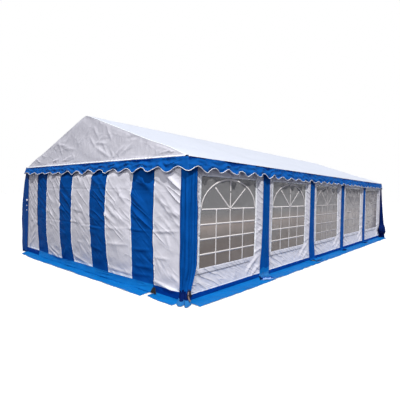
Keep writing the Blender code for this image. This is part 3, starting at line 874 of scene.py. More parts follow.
# %% Stripes, bands and folds of the end walls
STRIPE_EDGES = (0.335, 0.77, 1.41)
ZIP_LINE = 1.865
ZIP_GAP = 0.001
WALL_EDGE = 2.494
SEAMS = np.array([*STRIPE_EDGES, ZIP_LINE])
TAPE_HALF, TAPE_WIDE, TAPE_RISE = 0.004, 0.022, 0.0022
WALL_FOOT = 0.007
FOOT_BAND = 0.118
HEM_TOP = FOOT_BAND + 0.036
FRONT_FOLDS = [
    (1.80, 0.185, 2.40, 0.100, 0.026, 0.017),
    (2.05, 1.72, 2.42, 1.43, 0.040, 0.017),
    (1.85, 1.46, 2.14, 1.20, 0.035, 0.010),
    (1.80, 0.86, 2.42, 0.92, 0.020, 0.007),
    (1.85, 0.51, 2.22, 0.52, 0.022, 0.007),
    (2.22, 0.34, 2.42, 0.20, 0.030, 0.009),
    (2.06, 1.19, 2.40, 1.10, 0.035, 0.007),
    (1.42, 1.70, 1.86, 1.46, 0.055, 0.012),
    (1.36, 1.42, 1.80, 1.09, 0.050, 0.011),
    (1.37, 1.22, 1.84, 0.88, 0.050, 0.010),
    (1.34, 0.87, 1.85, 0.85, 0.022, 0.007),
    (1.38, 0.57, 1.86, 0.60, 0.030, 0.008),
    (1.38, 0.33, 1.87, 0.35, 0.030, 0.009),
    (1.40, 0.20, 1.87, 0.24, 0.026, 0.007),
    (1.30, 1.56, 0.93, 0.98, 0.045, 0.012),
    (1.03, 1.52, 1.30, 1.24, 0.040, 0.009),
    (0.68, 1.11, 1.10, 0.88, 0.040, 0.010),
    (0.72, 1.25, 1.25, 0.93, 0.040, 0.009),
    (0.64, 0.84, 1.36, 0.85, 0.020, 0.008),
    (0.70, 0.59, 1.38, 0.62, 0.026, 0.006),
    (0.72, 0.21, 1.42, 0.18, 0.026, 0.007),
    (-0.20, 1.72, 0.03, 1.49, 0.035, 0.009),
    (-0.46, 1.11, 0.14, 1.05, 0.035, 0.006),
    (-0.46, 0.88, 0.20, 0.83, 0.022, 0.006),
    (-0.36, 0.26, 0.26, 0.12, 0.030, 0.009),
    (0.24, 1.72, 0.62, 1.49, 0.050, 0.010),
    (0.20, 0.83, 0.68, 0.80, 0.022, 0.007),
    (0.24, 0.50, 0.70, 0.44, 0.040, 0.007),
    (-1.46, 1.07, -1.00, 0.89, 0.035, 0.010),
    (-1.46, 1.39, -0.96, 1.13, 0.035, 0.009),
    (-1.42, 0.25, -0.80, 0.08, 0.035, 0.013),
    (-1.35, 0.33, -0.82, 0.16, 0.030, 0.009),
    (-2.36, 0.92, -1.94, 0.64, 0.035, 0.010),
    (-2.40, 0.10, -1.98, 0.44, 0.030, 0.013),
    (-2.30, 0.24, -1.94, 0.60, 0.028, 0.011),
    (-2.34, 0.40, -1.96, 0.76, 0.030, 0.009),
    (-0.83, 1.10, -0.47, 1.02, 0.035, 0.008),
    (-0.76, 0.08, -0.50, 0.38, 0.040, 0.009),
    (-2.45, 1.45, 2.45, 1.45, 0.012, -0.004),
    (-2.45, 0.84, 2.45, 0.845, 0.012, -0.005),
]

# %% [markdown]
# ## The belly, the folds and the drift
# The wall hangs out in a belly, and the folds lie on that. The stripes also wander sideways as they
# hang down. The table holds that drift at ten places across and eight heights.

# %% Bulge and drift of the end walls
BELLY = 0.102


def end_belly(across, up):
    """The wall hangs out in a belly: full over the middle 1.4 m, nothing at the corners, and over its
    height it follows sin(pi t) to the power 0.8, with t the height's share."""
    level = np.clip(up / HANG, 0.0, 1.0)
    return BELLY * smooth(2.40, 0.70, np.abs(across)) * np.sin(math.pi * level) ** 0.8


def end_bulge(across, up, seed, own_folds):
    """How far an end wall stands out of its plane: the belly, slow waves, a puff between the seams,
    and folds. It is still at the corners, where the wraps lie on it, and stays behind the valance.
    The foot of the door swings out into the skirt."""
    run = np.abs(across)
    free = smooth(2.40, 2.26, run) * smooth(1.84, 1.62, up) * smooth(0.0, 0.16, up)
    rows = own_folds + scattered_folds(seed, 60, (-2.2, 0.15), (2.2, 1.6), (-0.6, 0.4), 0.42, 0.03, 0.006)
    near = np.abs(run[..., None] - np.array([*SEAMS, 2.41])).min(-1)
    puff = 0.006 * smooth(0.0, 0.15, near)
    slow = 0.007 * billow(across * 1.3, up * 0.7, seed + 1, 1.5)
    slow = slow + 0.002 * billow(across, up * 1.6, seed + 2, 0.35)
    tension = 1.5 * folds(across, up, rows) * smooth(1.86, 1.74, up) * smooth(2.42, 2.33, run)
    swing = 0.055 * np.clip(1 - up / 0.15, 0, 1) ** 2 * smooth(1.90, 1.80, run)
    stand_off = end_belly(across, up) + free * (slow + puff) + tension * smooth(0.0, 0.10, up)
    return np.clip(stand_off, -0.03, 0.009 + 0.13 * smooth(1.78, 1.50, up)) + swing


DRIFT_ACROSS = (-2.25, -1.865, -1.41, -0.77, -0.335, 0.335, 0.77, 1.41, 1.865, 2.25)
DRIFT_UP = (0.0, 0.2, 0.5, 0.8, 1.1, 1.4, 1.65, 1.88)
DRIFT = np.array([
    (0.0, 0.0, 0.0, 0.0, 0.0, 0.0, 0.0, 0.0),
    (0.034, 0.034, 0.031, 0.019, -0.005, -0.044, -0.056, 0.0),
    (0.050, 0.050, 0.040, 0.058, 0.044, 0.002, -0.040, 0.0),
    (0.060, 0.060, 0.068, 0.055, 0.026, -0.044, -0.066, 0.0),
    (0.050, 0.050, 0.044, 0.048, 0.026, -0.010, -0.022, 0.0),
    (0.004, 0.004, 0.000, -0.014, -0.038, -0.058, -0.048, 0.0),
    (0.050, 0.050, 0.038, 0.006, -0.004, -0.004, 0.000, 0.0),
    (-0.010, -0.010, 0.000, -0.012, -0.034, -0.040, -0.020, 0.0),
    (0.021, 0.021, 0.007, -0.011, -0.009, -0.006, -0.010, 0.0),
    (0.0, 0.0, 0.0, 0.0, 0.0, 0.0, 0.0, 0.0),
])


def seam_drift(across, up, seed):
    """How far the stripes wander sideways as they hang, which is nothing at the corners: a slow wave,
    and the table DRIFT, read in straight lines across and in soft steps up."""
    calm = 1 - smooth(1.3, 2.25, np.abs(across))
    wave = 0.016 * calm * np.sin(1.5 * math.pi * up / HANG + 1.4 * across + seed)
    wave = wave * smooth(0.0, 0.3, HANG - up)
    row = np.interp(across, DRIFT_ACROSS, np.arange(len(DRIFT_ACROSS)))
    column = np.interp(up, DRIFT_UP, np.arange(len(DRIFT_UP)))
    i = np.minimum(row.astype(int), len(DRIFT_ACROSS) - 2)
    j = np.minimum(column.astype(int), len(DRIFT_UP) - 2)
    u, v = row - i, smooth(0, 1, column - j)
    lower, upper = [DRIFT[i, k] * (1 - u) + DRIFT[i + 1, k] * u for k in (j, j + 1)]
    return wave + lower * (1 - v) + upper * v


# %% [markdown]
# ## Cutting and sewing the end walls
# The grid has a line on every seam. A cell takes its finish from the stripe it lies in, so a stripe
# bends with the cloth. The tape lies on the white side of a seam, where it shows.

# %% End wall cloth
WHITE, BLUE, TAPE, FOOT = range(4)


def tape_side(edge):
    """+1 where the white stripe lies to the right of an edge between stripes, and -1 to the left."""
    return 1 if edge in (-STRIPE_EDGES[0], STRIPE_EDGES[1], -STRIPE_EDGES[2]) else -1


def end_cloth(side, part, low, high, seed, own_folds, step):
    """One cloth of an end wall between two lines across. Its cells are white, blue or tape, and a band
    along its foot is blue."""
    edges = [edge for edge in sorted([-e for e in STRIPE_EDGES] + list(STRIPE_EDGES)) if low < edge < high]
    inward = [edge + tape_side(edge) * TAPE_WIDE for edge in edges]
    beside_zips = [end - np.sign(end) * TAPE_WIDE for end in (low, high) if abs(end) < 2]
    across = lines(sorted([low, high, *edges, *inward, *beside_zips]), step)[None, :]
    up = lines([WALL_FOOT, FOOT_BAND, HEM_TOP, WALL_TOP], step)[:, None]
    on_tape = np.abs(np.abs(across)[..., None] - SEAMS).min(-1) < TAPE_HALF
    out = END_FACE + end_bulge(across, up, seed, own_folds) + TAPE_RISE * on_tape
    run, level = np.abs(halfway(across[0])), halfway(up)
    outer_blue = (run > STRIPE_EDGES[2]) & (run < ZIP_LINE - ZIP_GAP)
    blue = ((run > STRIPE_EDGES[0]) & (run < STRIPE_EDGES[1])) | outer_blue
    tape = (np.abs(run[:, None] - SEAMS).min(1) < TAPE_WIDE) & ~blue
    marks = np.where(blue, BLUE, np.where(tape, TAPE, WHITE))[None, :]
    marks = np.where((level < HEM_TOP) & (marks != BLUE), TAPE, marks)
    marks = np.where(level < FOOT_BAND, FOOT, marks)
    # The foot band is one blue cloth in two tones: on the fixed panels a darker blue, partly painted shade,
    # and on the door the skirt's lighter azure, painted light where its foot swings out.
    foot = "azure_and_painted_light" if part == "door_cloth" else "blue_band_and_painted_shade"
    finishes = ["white_wall", "blue_wall", "white_tape", foot]
    points = stand(side, across + seam_drift(across, up, seed), out, up)
    piece = cloth_piece(f"{side}_{part}", points, (across, up), finishes, THICK_CLOTH, "white_cloth",
                        f"{side}_wall", marks=marks)


END_WALLS = (("front", 61, FRONT_FOLDS, 0.0165), ("back", 71, mirrored(FRONT_FOLDS), 0.023))
PARTS = (
    ("fixed_left", -WALL_EDGE, -ZIP_LINE - ZIP_GAP),
    ("door_cloth", -ZIP_LINE + ZIP_GAP, ZIP_LINE - ZIP_GAP),
    ("fixed_right", ZIP_LINE + ZIP_GAP, WALL_EDGE),
)
for side, seed, own_folds, step in END_WALLS:
    for part, low, high in PARTS:
        end_cloth(side, part, low, high, seed, own_folds, step)
print("end walls: two doors and four fixed panels")

# %% [markdown]
# ## The window panels
# Down each long side hang five white panels, each with a window cut in it. The posts hold a panel
# tight at both edges, so drag lines run from the posts down to the foot, and the margins beside the
# window buckle. The hole is left out of the grid as cells, with grid lines along its edges.

# %% Window panel cloth
PANEL_HALF = 0.9995
WINDOW_HALF = 0.695
WINDOW_LOW, WINDOW_TOP = 0.39, 1.66
RIM_SIDE, RIM_TOP, RIM_RISE = 0.04, 0.02, 0.0016
PANEL_FOOT = 0.004
SIDE_BAND, BAND_TAPE = 0.080, 0.094
SEAM_LEFT, SEAM_RIGHT, SEAM_LOW, SEAM_HIGH = -0.80, 0.54, 0.307, 0.321
PANEL_STEP = 0.0215
SLACK = 0.036
FAR_BAY = 3
DRAG_FOLDS = [
    (0.86, 0.42, 0.42, 0.13, 0.032, 0.012),
    (0.88, 0.24, 0.54, 0.06, 0.028, 0.011),
    (0.90, 0.52, 0.68, 0.44, 0.026, 0.010),
    (0.78, 0.33, 0.52, 0.09, 0.022, 0.007),
    (0.74, 1.33, 0.90, 1.19, 0.028, 0.008),
    (0.74, 0.76, 0.90, 0.86, 0.022, 0.007),
    (0.72, 1.60, 0.88, 1.42, 0.030, 0.008),
    (-0.88, 0.33, -0.52, 0.05, 0.032, 0.013),
    (-0.84, 0.24, -0.62, 0.05, 0.024, 0.009),
    (-0.90, 0.46, -0.40, 0.14, 0.026, 0.008),
    (-0.86, 1.10, -0.70, 0.92, 0.026, 0.008),
    (-0.88, 1.52, -0.74, 1.63, 0.028, 0.007),
    (-0.76, 0.50, -0.74, 1.50, 0.026, 0.004),
    (0.77, 0.55, 0.76, 1.55, 0.026, 0.004),
    (-0.95, 1.45, 0.95, 1.45, 0.012, -0.004),
    (-0.95, 0.84, 0.95, 0.84, 0.012, -0.005),
    (-0.88, 0.325, 0.60, 0.325, 0.012, 0.005),
    (0.72, 1.22, 0.88, 1.12, 0.016, 0.006),
    (0.72, 1.02, 0.88, 1.00, 0.012, 0.006),
    (0.72, 0.66, 0.88, 0.80, 0.016, 0.006),
    (-0.88, 1.28, -0.72, 1.26, 0.012, 0.005),
    (-0.88, 0.70, -0.72, 0.74, 0.014, 0.005),
    (-0.86, 1.43, -0.71, 1.41, 0.012, -0.009),
    (-0.84, 1.04, -0.71, 1.17, 0.012, 0.007),
]


def side_bulge(across, up, number, seed):
    """How far a side panel stands out. Between the posts it hangs in by 3 to 4 cm, and towards the
    posts, where the post covers lie on it, it comes back to the wall's plane. The far bays pull harder:
    more folds run from their back post down to the foot."""
    rng = np.random.default_rng(seed)
    rows = [(a, b, c, d, 0.8 * e, f * rng.uniform(1.6, 2.6)) for a, b, c, d, e, f in DRAG_FOLDS]
    rows += scattered_folds(seed + 1, 16, (-0.85, 0.08), (0.85, 0.36), (0.0, 0.9), 0.24, 0.024, 0.006)
    rows += scattered_folds(seed + 2, 9, (-0.86, 0.4), (-0.72, 1.6), (0.6, 0.7), 0.16, 0.02, 0.006)
    rows += scattered_folds(seed + 3, 9, (0.72, 0.4), (0.86, 1.6), (-0.6, 0.7), 0.16, 0.02, 0.006)
    if number >= FAR_BAY:
        rows += scattered_folds(seed + 5, 12, (0.0, 0.12), (0.86, 0.36), (0.25, 0.8), 0.40, 0.026, 0.013)
    run = np.abs(across)
    inward = -SLACK * rng.uniform(0.85, 1.1) * smooth(0.94, 0.70, run) * smooth(1.86, 1.60, up)
    slow = 0.004 * billow(across, up * 0.6, seed + 4, 1.4) * smooth(0.93, 0.84, run) * smooth(1.82, 1.60, up)
    still = smooth(0.96, 0.88, run) * smooth(0.0, 0.06, up)
    loose = inward * smooth(0.0, 0.30, up) + slow * smooth(0.0, 0.12, up)
    return np.clip(loose + still * folds(across, up, rows), -0.058, 0.012)


def window_rim(across, up):
    """True within 4 cm of the window's sides, 2 cm above it and 7 cm below, where the cloth is doubled."""
    upright = np.maximum((WINDOW_LOW - up) * 0.3, up - WINDOW_TOP)
    outside = np.maximum((np.abs(across) - WINDOW_HALF) * 0.5, upright)
    return (outside < 0.021) & (outside > -0.03)


def side_panel(side, number, middle, seed):
    """A panel with its window left out. Its lowest cells are blue, and a grey seam runs below the window."""
    edge = WINDOW_HALF + RIM_SIDE
    across = lines([-PANEL_HALF, -edge, -WINDOW_HALF, WINDOW_HALF, edge, PANEL_HALF], PANEL_STEP)[None, :]
    stops = [PANEL_FOOT, SIDE_BAND, BAND_TAPE, SEAM_LOW, SEAM_HIGH, WINDOW_LOW, WINDOW_TOP]
    up = lines([*stops, WINDOW_TOP + RIM_TOP, WALL_TOP], PANEL_STEP)[:, None]
    out = SIDE_FACE + side_bulge(across, up, number, seed) + RIM_RISE * window_rim(across, up)
    inner, level = halfway(across[0])[None, :], halfway(up)
    hole = (np.abs(inner) < WINDOW_HALF) & (level > WINDOW_LOW) & (level < WINDOW_TOP)
    white, band, tape, seam = range(4)
    # The lowest cells are the blue band, in a darker blue that is partly painted shade.
    marks = np.where(level < SIDE_BAND, band, np.where(level < BAND_TAPE, tape, white))
    marks = np.where((level > WINDOW_LOW) & window_rim(inner, level), tape, marks)
    on_seam = (level > SEAM_LOW) & (level < SEAM_HIGH) & (inner > SEAM_LEFT) & (inner < SEAM_RIGHT)
    marks = np.where(on_seam, seam, marks)
    piece = cloth_piece(f"{side}_window_panel_{number}", stand(side, across + middle, out, up), (across, up),
                        ["white_side", "blue_band_and_painted_shade", "white_tape", "seam_grey"], THIN_CLOTH, "white_cloth",
                        f"{side}_panel_{number}", marks=marks, keep=~hole)
    return len(piece.data.polygons)


LONG_SIDES = (("right", 1, 100), ("left", -1, 200))
WINDOWS = [(side, number, way * middle, seed + 10 * number)
           for side, way, seed in LONG_SIDES for number, middle in enumerate(BAY_MIDDLES, start=1)]
cells = sum(side_panel(*window) for window in WINDOWS)
print("window panels:", cells, "cells in all")

# %% [markdown]
# ## Film windows and their printed bars
# Behind each hole a sheet of clear film is welded to the cloth. White strips on the film imitate
# glazing bars: a row of panes below, and a fan under a half-ellipse above. Film and bars use the
# panel's own bulge, so they stay just behind and just in front of each other. Towards the far end the
# bars are fainter, so there they let the film show through.

# %% Films and bars
FILM_BACK = 0.0038
FILM_HALF, FILM_LOW, FILM_TOP, FILM_RIPPLE = 0.722, 0.364, 1.686, 0.0006
BAR_HALF, BAR_THICK = 0.0125, 0.0005
SPRINGING = 1.20
ARCH_HALF, ARCH_TOP = 0.683, 1.635
FAN_ACROSS, FAN_TOP = 0.385, 1.51
BAR_ROWS = (0.575, 0.785, 0.99, SPRINGING)
BAR_COLUMNS = (-0.345, 0.0, 0.345)
BAR_FINISHES = ("window_bar", "window_bar", "half_faint_bar", "faint_bar", "faint_bar")


def film_sheet(side, number, middle, seed):
    """A grid a little larger than the hole, set back from the panel's face."""
    across = np.linspace(-FILM_HALF, FILM_HALF, 42)[None, :]
    up = np.linspace(FILM_LOW, FILM_TOP, 39)[:, None]
    ripple = FILM_RIPPLE * (1 + billow(across, up, seed + 7, 0.6).clip(-1, 1))
    out = SIDE_FACE - FILM_BACK + side_bulge(across, up, number, seed) - ripple
    piece = cloth_piece(f"{side}_film_{number}", stand(side, across + middle, out, up), (across, up),
                        ["window_film"], FILM, "clear_film", f"{side}_window_film")


def bar_lines():
    """Across and up of every bar's middle line, with how far the bar lies above the film."""
    share = np.linspace(-1, 1, 36)
    rows = [(share * WINDOW_HALF, np.full(36, up), 0.0004) for up in BAR_ROWS]
    rise = WINDOW_LOW + (share + 1) / 2 * (SPRINGING - WINDOW_LOW)
    columns = [(np.full(36, across), rise, 0.0010) for across in BAR_COLUMNS]
    centre = (np.zeros(20), np.linspace(SPRINGING, ARCH_TOP, 20), 0.0010)
    lean, up = np.linspace(0, FAN_ACROSS, 20), np.linspace(SPRINGING, FAN_TOP, 20)
    fan = [(way * lean, up, 0.0013) for way in (-1, 1)]
    turn = np.linspace(0, math.pi, 48)
    arch = (-ARCH_HALF * np.cos(turn), SPRINGING + (ARCH_TOP - SPRINGING) * np.sin(turn), 0.0016)
    return [*rows, *columns, centre, *fan, arch]


def window_bars(side, number, middle, seed):
    """All the bars of a window in one mesh: a thin flat profile carried along each line."""
    profile = [(0.0, -BAR_HALF), (BAR_THICK, -BAR_HALF), (BAR_THICK, BAR_HALF), (0.0, BAR_HALF)]
    runs = []
    for across, up, above in bar_lines():
        out = SIDE_FACE - FILM_BACK + side_bulge(across, up, number, seed) + above
        runs.append((stand(side, across + middle, out, up), outward(side), profile))
    carried_piece(f"{side}_bars_{number}", runs, BAR_FINISHES[number - 1], "white_cloth")


for window in WINDOWS:
    film_sheet(*window)
    window_bars(*window)
print("ten windows with", len(bar_lines()), "bars each")

# %% [markdown]
# ## The covers over the posts
# A blue strip covers each post and the two panel edges beside it. At the ground it bends out over
# the skirt in a soft cuff. The sheet is a width carried along a path: flat on the ground, round a
# quarter circle, then straight up the post. Each cover's foot lies differently. FEET gives its length
# on the ground, how far its tip is moved sideways, and its half width at the neck and at the tip.

# %% Post covers
COVER_TOP, COVER_WIDE = 1.868, 0.28
COVER_OUT = SIDE_FACE + 0.0028
COVER_FLOOR, COVER_BEND = 0.012, 0.05
FEET = {
    1: (0.188, -0.210, 0.160, 0.118),
    2: (0.13, 0.07, 0.145, 0.150),
    3: (0.09, -0.04, 0.118, 0.030),
    4: (0.08, -0.02, 0.115, 0.030),
}
# The first finish is the covers' own blue. The others paint light and shade onto it: a painted highlight,
# painted shade, painted light, a painted highlight on a rim and a painted shadow.
COVER_FINISHES = ["blue_wrap", "azure_painted_highlight", "navy_and_painted_shade", "azure_and_painted_light", "rim_painted_highlight", "blue_band_and_painted_shade"]
PLAIN, PAINTED_HIGHLIGHT, PAINTED_SHADE, PAINTED_LIGHT, RIM_HIGHLIGHT, ARC_SHADE = range(6)


def cover_path(length, flat):
    """Out and up at a distance s from the tip: flat, then wall + r - r sin, floor + r - r cos, then up."""
    angle = np.clip((length - flat) / COVER_BEND, 0, math.pi / 2)
    rise = np.clip(length - flat - COVER_BEND * math.pi / 2, 0, None)
    out = COVER_OUT + np.clip(flat - length, 0, None) + COVER_BEND - COVER_BEND * np.sin(angle)
    return out, COVER_FLOOR + COVER_BEND - COVER_BEND * np.cos(angle) + rise


def cover_marks(number, s, share, way, flat):
    """The finish of each cell, with light and shade painted in. Most covers are painted darker on the
    ground, painted shade. The first one is turned up there: from its tip it has a painted highlight on
    its rim, a painted shadow behind the roll, a painted highlight, painted light and then its plain blue.
    The second is painted lighter on the ground, painted light, and both have a painted shadow along the
    edge at the front."""
    level, right = halfway(s), share[:, 1:]
    middle = way * (right + share[:, :-1]) / 2
    edge = level + 0.012 * np.sin(5 * right)
    if number == 1:
        stops = [0.038, 0.080, flat + 0.09, flat + 0.17]
        step = np.searchsorted(stops, np.where(level < 0.1, level + 0.025 * middle**2, edge))
        marks = np.choose(step, [RIM_HIGHLIGHT, ARC_SHADE, PAINTED_HIGHLIGHT, PAINTED_LIGHT, PLAIN])
        return np.where((middle < -0.80) & (level > 0.012) & (level < flat + 0.05), PAINTED_SHADE, marks)
    if number == 2:
        marks = np.where(edge < flat + 0.02, PAINTED_LIGHT, PLAIN)
        return np.where((middle < -0.70) & (level < flat + 0.02), PAINTED_SHADE, marks)
    return np.where(edge < flat - 0.01, PAINTED_SHADE, PLAIN)


def post_cover(side, way, number, post, seed, flat, skew, neck, tip):
    """Folds run the length of a cover and open out towards the foot, and its end curls up. On the first
    cover it is rolled under instead, and its edge slants back by half of its length on the ground."""
    rng = np.random.default_rng(seed)
    total = flat + COVER_BEND * math.pi / 2 + COVER_TOP - COVER_FLOOR - COVER_BEND
    s = lines([0.0, flat + 0.12, total], 0.017)[:, None]
    share = np.linspace(-1, 1, 19)[None, :]
    out, up = cover_path(s, flat)
    stops = [0, flat * 0.6, flat + 0.04, flat + 0.25, flat + 0.50, flat + 0.9]
    half = np.interp(s, stops, [tip, neck * 0.9, neck, neck * 0.97, 0.128, 0.112])
    moved = way * skew * smooth(flat + (0.55 if number == 2 else 0.12), 0.0, s)
    across = share * half + moved + 0.005 * np.sin(2.2 * up + seed)
    places = rng.uniform(-0.85, 0.85, 4)
    pleats = sum(rng.uniform(0.3, 1.0) * hill(share, place, 0.13) for place in places)
    low = smooth(0.75, 0.0, s - flat)
    edges = 0.006 * hill(np.abs(share), 0.88, 0.07)
    hump = 0.0016 + 0.005 * pleats * (0.3 + low) + 0.004 * low * (1 - share**2) + edges * (0.25 + low)
    foot = smooth(flat + 0.07, flat - 0.02, s)
    crumple = 0.007 * (1 + billow(share * 0.12, s, seed, 0.11)) * smooth(0.0, 0.06, s)
    out = out + hump * (1 - foot)
    if number == 1:
        roll = 0.020 * hill(s + 0.012 * share**2, 0.050, 0.020)
        curl = roll + 0.008 * (1 - share**2) * smooth(0.0, 0.05, s)
        out = out - 0.25 * (1 - way * share) * np.clip(flat - s, 0, None)
    else:
        curl = 0.018 * (1 - smooth(0.0, 0.05, s)) + 0.010 * (1 - share**2)
    up = up + foot * (hump + crumple + curl)
    piece = cloth_piece(f"{side}_post_cover_{number}", stand(side, across + way * post, out, up), (across, s),
                        COVER_FINISHES, THIN_CLOTH, "blue_cloth", f"{side}_post_strip_{number}",
                        marks=cover_marks(number, s, share, way, flat))


for side, way, seed in (("right", 1, 300), ("left", -1, 320)):
    for number, post in enumerate(POST_LINES, start=1):
        post_cover(side, way, number, post, seed + number, *FEET[number])
print("eight post covers")

# %% [markdown]
# ## The wraps round the corner posts
# At each corner a wide blue cloth is laced round the post. From above its path is an L with a soft
# bend. Below, nothing holds it, so it swings out and its foot opens on the ground in lobes. Two of
# the four have been caught by the wind and stand well away from the post. How far a wrap swings is
# given at seven heights, and LOBES is the plan of the near wrap's foot: share, across and back.

# %% Corner covers
SWING_HEIGHTS = (0.0, 0.3, 0.75, 1.2, 1.6, 1.81, 1.87)
LOW_ROWS = (0.010, 0.013, 0.018, 0.025, 0.034, 0.045, 0.058, 0.073, 0.090, 0.108, 0.128)
KNEE = 0.15
WRAP_BEND = 0.014
WRAP_SIDE = 0.175
PLEATS = ((0.12, 0.05, 0.5), (0.37, 0.05, 1.1), (0.57, 0.045, 0.3), (0.75, 0.06, 0.6), (0.92, 0.05, 0.5))
LOBES = np.array([
    (0.00, 0.10, 0.20, 0.30, 0.40, 0.47, 0.53, 0.61, 0.70, 0.80, 0.90, 1.00),
    (-0.105, -0.100, -0.050, 0.030, 0.085, 0.055, 0.070, 0.130, 0.155, 0.140, 0.100, 0.030),
    (-0.004, -0.050, -0.120, -0.175, -0.165, -0.085, -0.090, -0.155, -0.140, -0.060, 0.015, 0.080),
])


def corner_plan(length, on_end):
    """Plan of the wrap for a corner at the origin, with the end wall on the left and the side wall going
    back: straight, a quarter circle, straight. Gives the place and the outward direction."""
    straight = on_end - WRAP_BEND
    angle = np.clip((length - straight) / WRAP_BEND, 0, math.pi / 2)
    beyond = np.clip(length - straight - WRAP_BEND * math.pi / 2, 0, None)
    x = np.where(length < straight, length - on_end, -WRAP_BEND + WRAP_BEND * np.sin(angle))
    return x, WRAP_BEND - WRAP_BEND * np.cos(angle) + beyond, np.sin(angle), -np.cos(angle)


def corner_cover(corner, mirror, turn, seed, finish, swing, taper, on_side=WRAP_SIDE, lobed=False,
                 bulge=0.0, spread=0.0, on_end=0.119):
    """Mirror is -1 for a left-hand corner, and turn is -1 for the back ones, which are turned half
    round. Swing gives how far the cloth stands out at each height, and taper how much its edge draws
    in. Below the knee at 0.15 m a lobed foot blends into the plan LOBES, by the square of the way down.
    Its cells up to the knee are painted dark, painted shade, and its lobes are painted paler, a painted
    highlight. Otherwise it ends straight, with its lowest few centimetres painted dark as painted shade.
    A bulge is a flap of the free edge that has blown forward around 0.29 m, and a spread widens the
    cloth below 1.3 m. On_end is its width on the end wall, which draws in by 16 mm towards the foot."""
    up = np.concatenate([LOW_ROWS, lines([KNEE, 0.45, COVER_TOP], 0.021)])[:, None]
    share = np.linspace(0, 1, 44)[None, :]
    on_end = on_end - 0.016 * smooth(1.2, 0.1, up)
    full = on_end - WRAP_BEND + WRAP_BEND * math.pi / 2 + on_side - WRAP_BEND
    flap = bulge * np.exp(-(((up - 0.29) / 0.12) ** 4))
    length = share * (full + spread * smooth(1.5, 1.1, up) - taper * smooth(0.50, 0.05, up) + flap)
    x, y, nx, ny = corner_plan(length, on_end)
    rng = np.random.default_rng(seed)
    pleats = sum(rng.uniform(least, least + 0.4) * hill(share, place, width)
                 for place, width, least in PLEATS)
    ripple = 0.002 * (1 + billow(share * 0.25, up * 0.5, seed, 0.3))
    off = 0.008 + flap * share**2 * 0.15 + pleats * (0.010 + 0.012 * smooth(0.9, 0.0, up)) + ripple
    x, y = x + off * nx, y + off * ny
    away = np.interp(up, SWING_HEIGHTS, swing)
    arch = np.sin(math.pi * share) ** 0.8
    x, y = x + away * arch * 0.93, y - away * arch * 0.25
    level, inner = halfway(up), halfway(share[0])[None, :]
    # Painted shade: the lowest few centimetres of a wrap are painted dark.
    marks = np.where(level + 0.01 * np.sin(15 * inner) < 0.035, PAINTED_SHADE, PLAIN)
    if lobed:
        around = np.linspace(-0.04, 0.04, 9)[:, None, None]
        foot_x, foot_y = (np.interp(share + around, LOBES[0], plan).mean(0) for plan in LOBES[1:])
        flare = np.clip((KNEE - up) / (KNEE - up[0]), 0, 1) ** 2
        x, y = x + flare * (foot_x - x), y + flare * (foot_y - y)
        # Painted shade over the foot up to the knee, and a painted highlight on the lobes.
        marks = np.where(level < KNEE + 0.012 * np.sin(17 * inner + 1), PAINTED_SHADE, PLAIN)
        lobe = (level < 0.054 + 0.008 * np.sin(13 * inner)) & (np.abs(inner - 0.50) > 0.02)
        marks = np.where(lobe, PAINTED_HIGHLIGHT, marks)
    sheets = [turn * mirror * (SIDE_FACE + x), turn * (-END_FACE + y), up, length]
    if mirror < 0:
        sheets, marks = [sheet[:, ::-1] for sheet in sheets], marks[:, ::-1]
    x, y, up, length = np.broadcast_arrays(*sheets)
    finishes = [finish, "azure_painted_highlight", "navy_and_painted_shade"]
    piece = cloth_piece(f"corner_cover_{corner}", np.stack([x, y, up], axis=-1), (length, up), finishes,
                        THIN_CLOTH, "blue_cloth", f"corner_wrap_{corner}", marks=marks)


STILL = (0.0, 0.0, 0.0, 0.0, 0.0, 0.0, 0.0)
CAUGHT = (0.11, 0.145, 0.175, 0.14, 0.075, 0.02, 0.0)
BLOWN = (0.205, 0.17, 0.115, 0.07, 0.03, 0.01, 0.0)
corner_cover("front_right", 1, 1, 401, "blue_wrap", STILL, 0.12, lobed=True, spread=0.024)
# The front-left wrap is the wraps' blue cloth in a darker copy, painted shade.
corner_cover("front_left", -1, 1, 402, "wrap_in_painted_shade", CAUGHT, 0.02, on_end=0.097)
# The back-right wrap is all navy, painted shade of the inside of its fold.
corner_cover("back_right", -1, -1, 403, "navy_and_painted_shade", BLOWN, 0.02, on_side=0.06, bulge=0.20)
corner_cover("back_left", 1, -1, 404, "blue_wrap", STILL, 0.05)
print("four corner covers")

# %% [markdown]
# ## The skirts on the ground
# A blue flap is sewn to the foot of each wall and lies on the ground outside it, where it can be
# weighed down. It leaves the wall in a small curve, and its free edge never lies quite flat.

# %% Skirts
SKIRT_SHARES = np.array([1.0, 0.95, 0.88, 0.78, 0.66, 0.54, 0.42, 0.31, 0.21, 0.13, 0.06, 0.0])[:, None]
SKIRT_STEP = 0.03
SKIRT_LIFT, SKIRT_IN = 0.0045, 0.0025
SIDE_STOPS = (-4.975, -3.003, -1.003, 0.997, 2.997, 4.975)
SIDE_GAP = 0.003
END_FLAT, SIDE_FLAT = (4.88, 0.25), (9.95, 0.28)


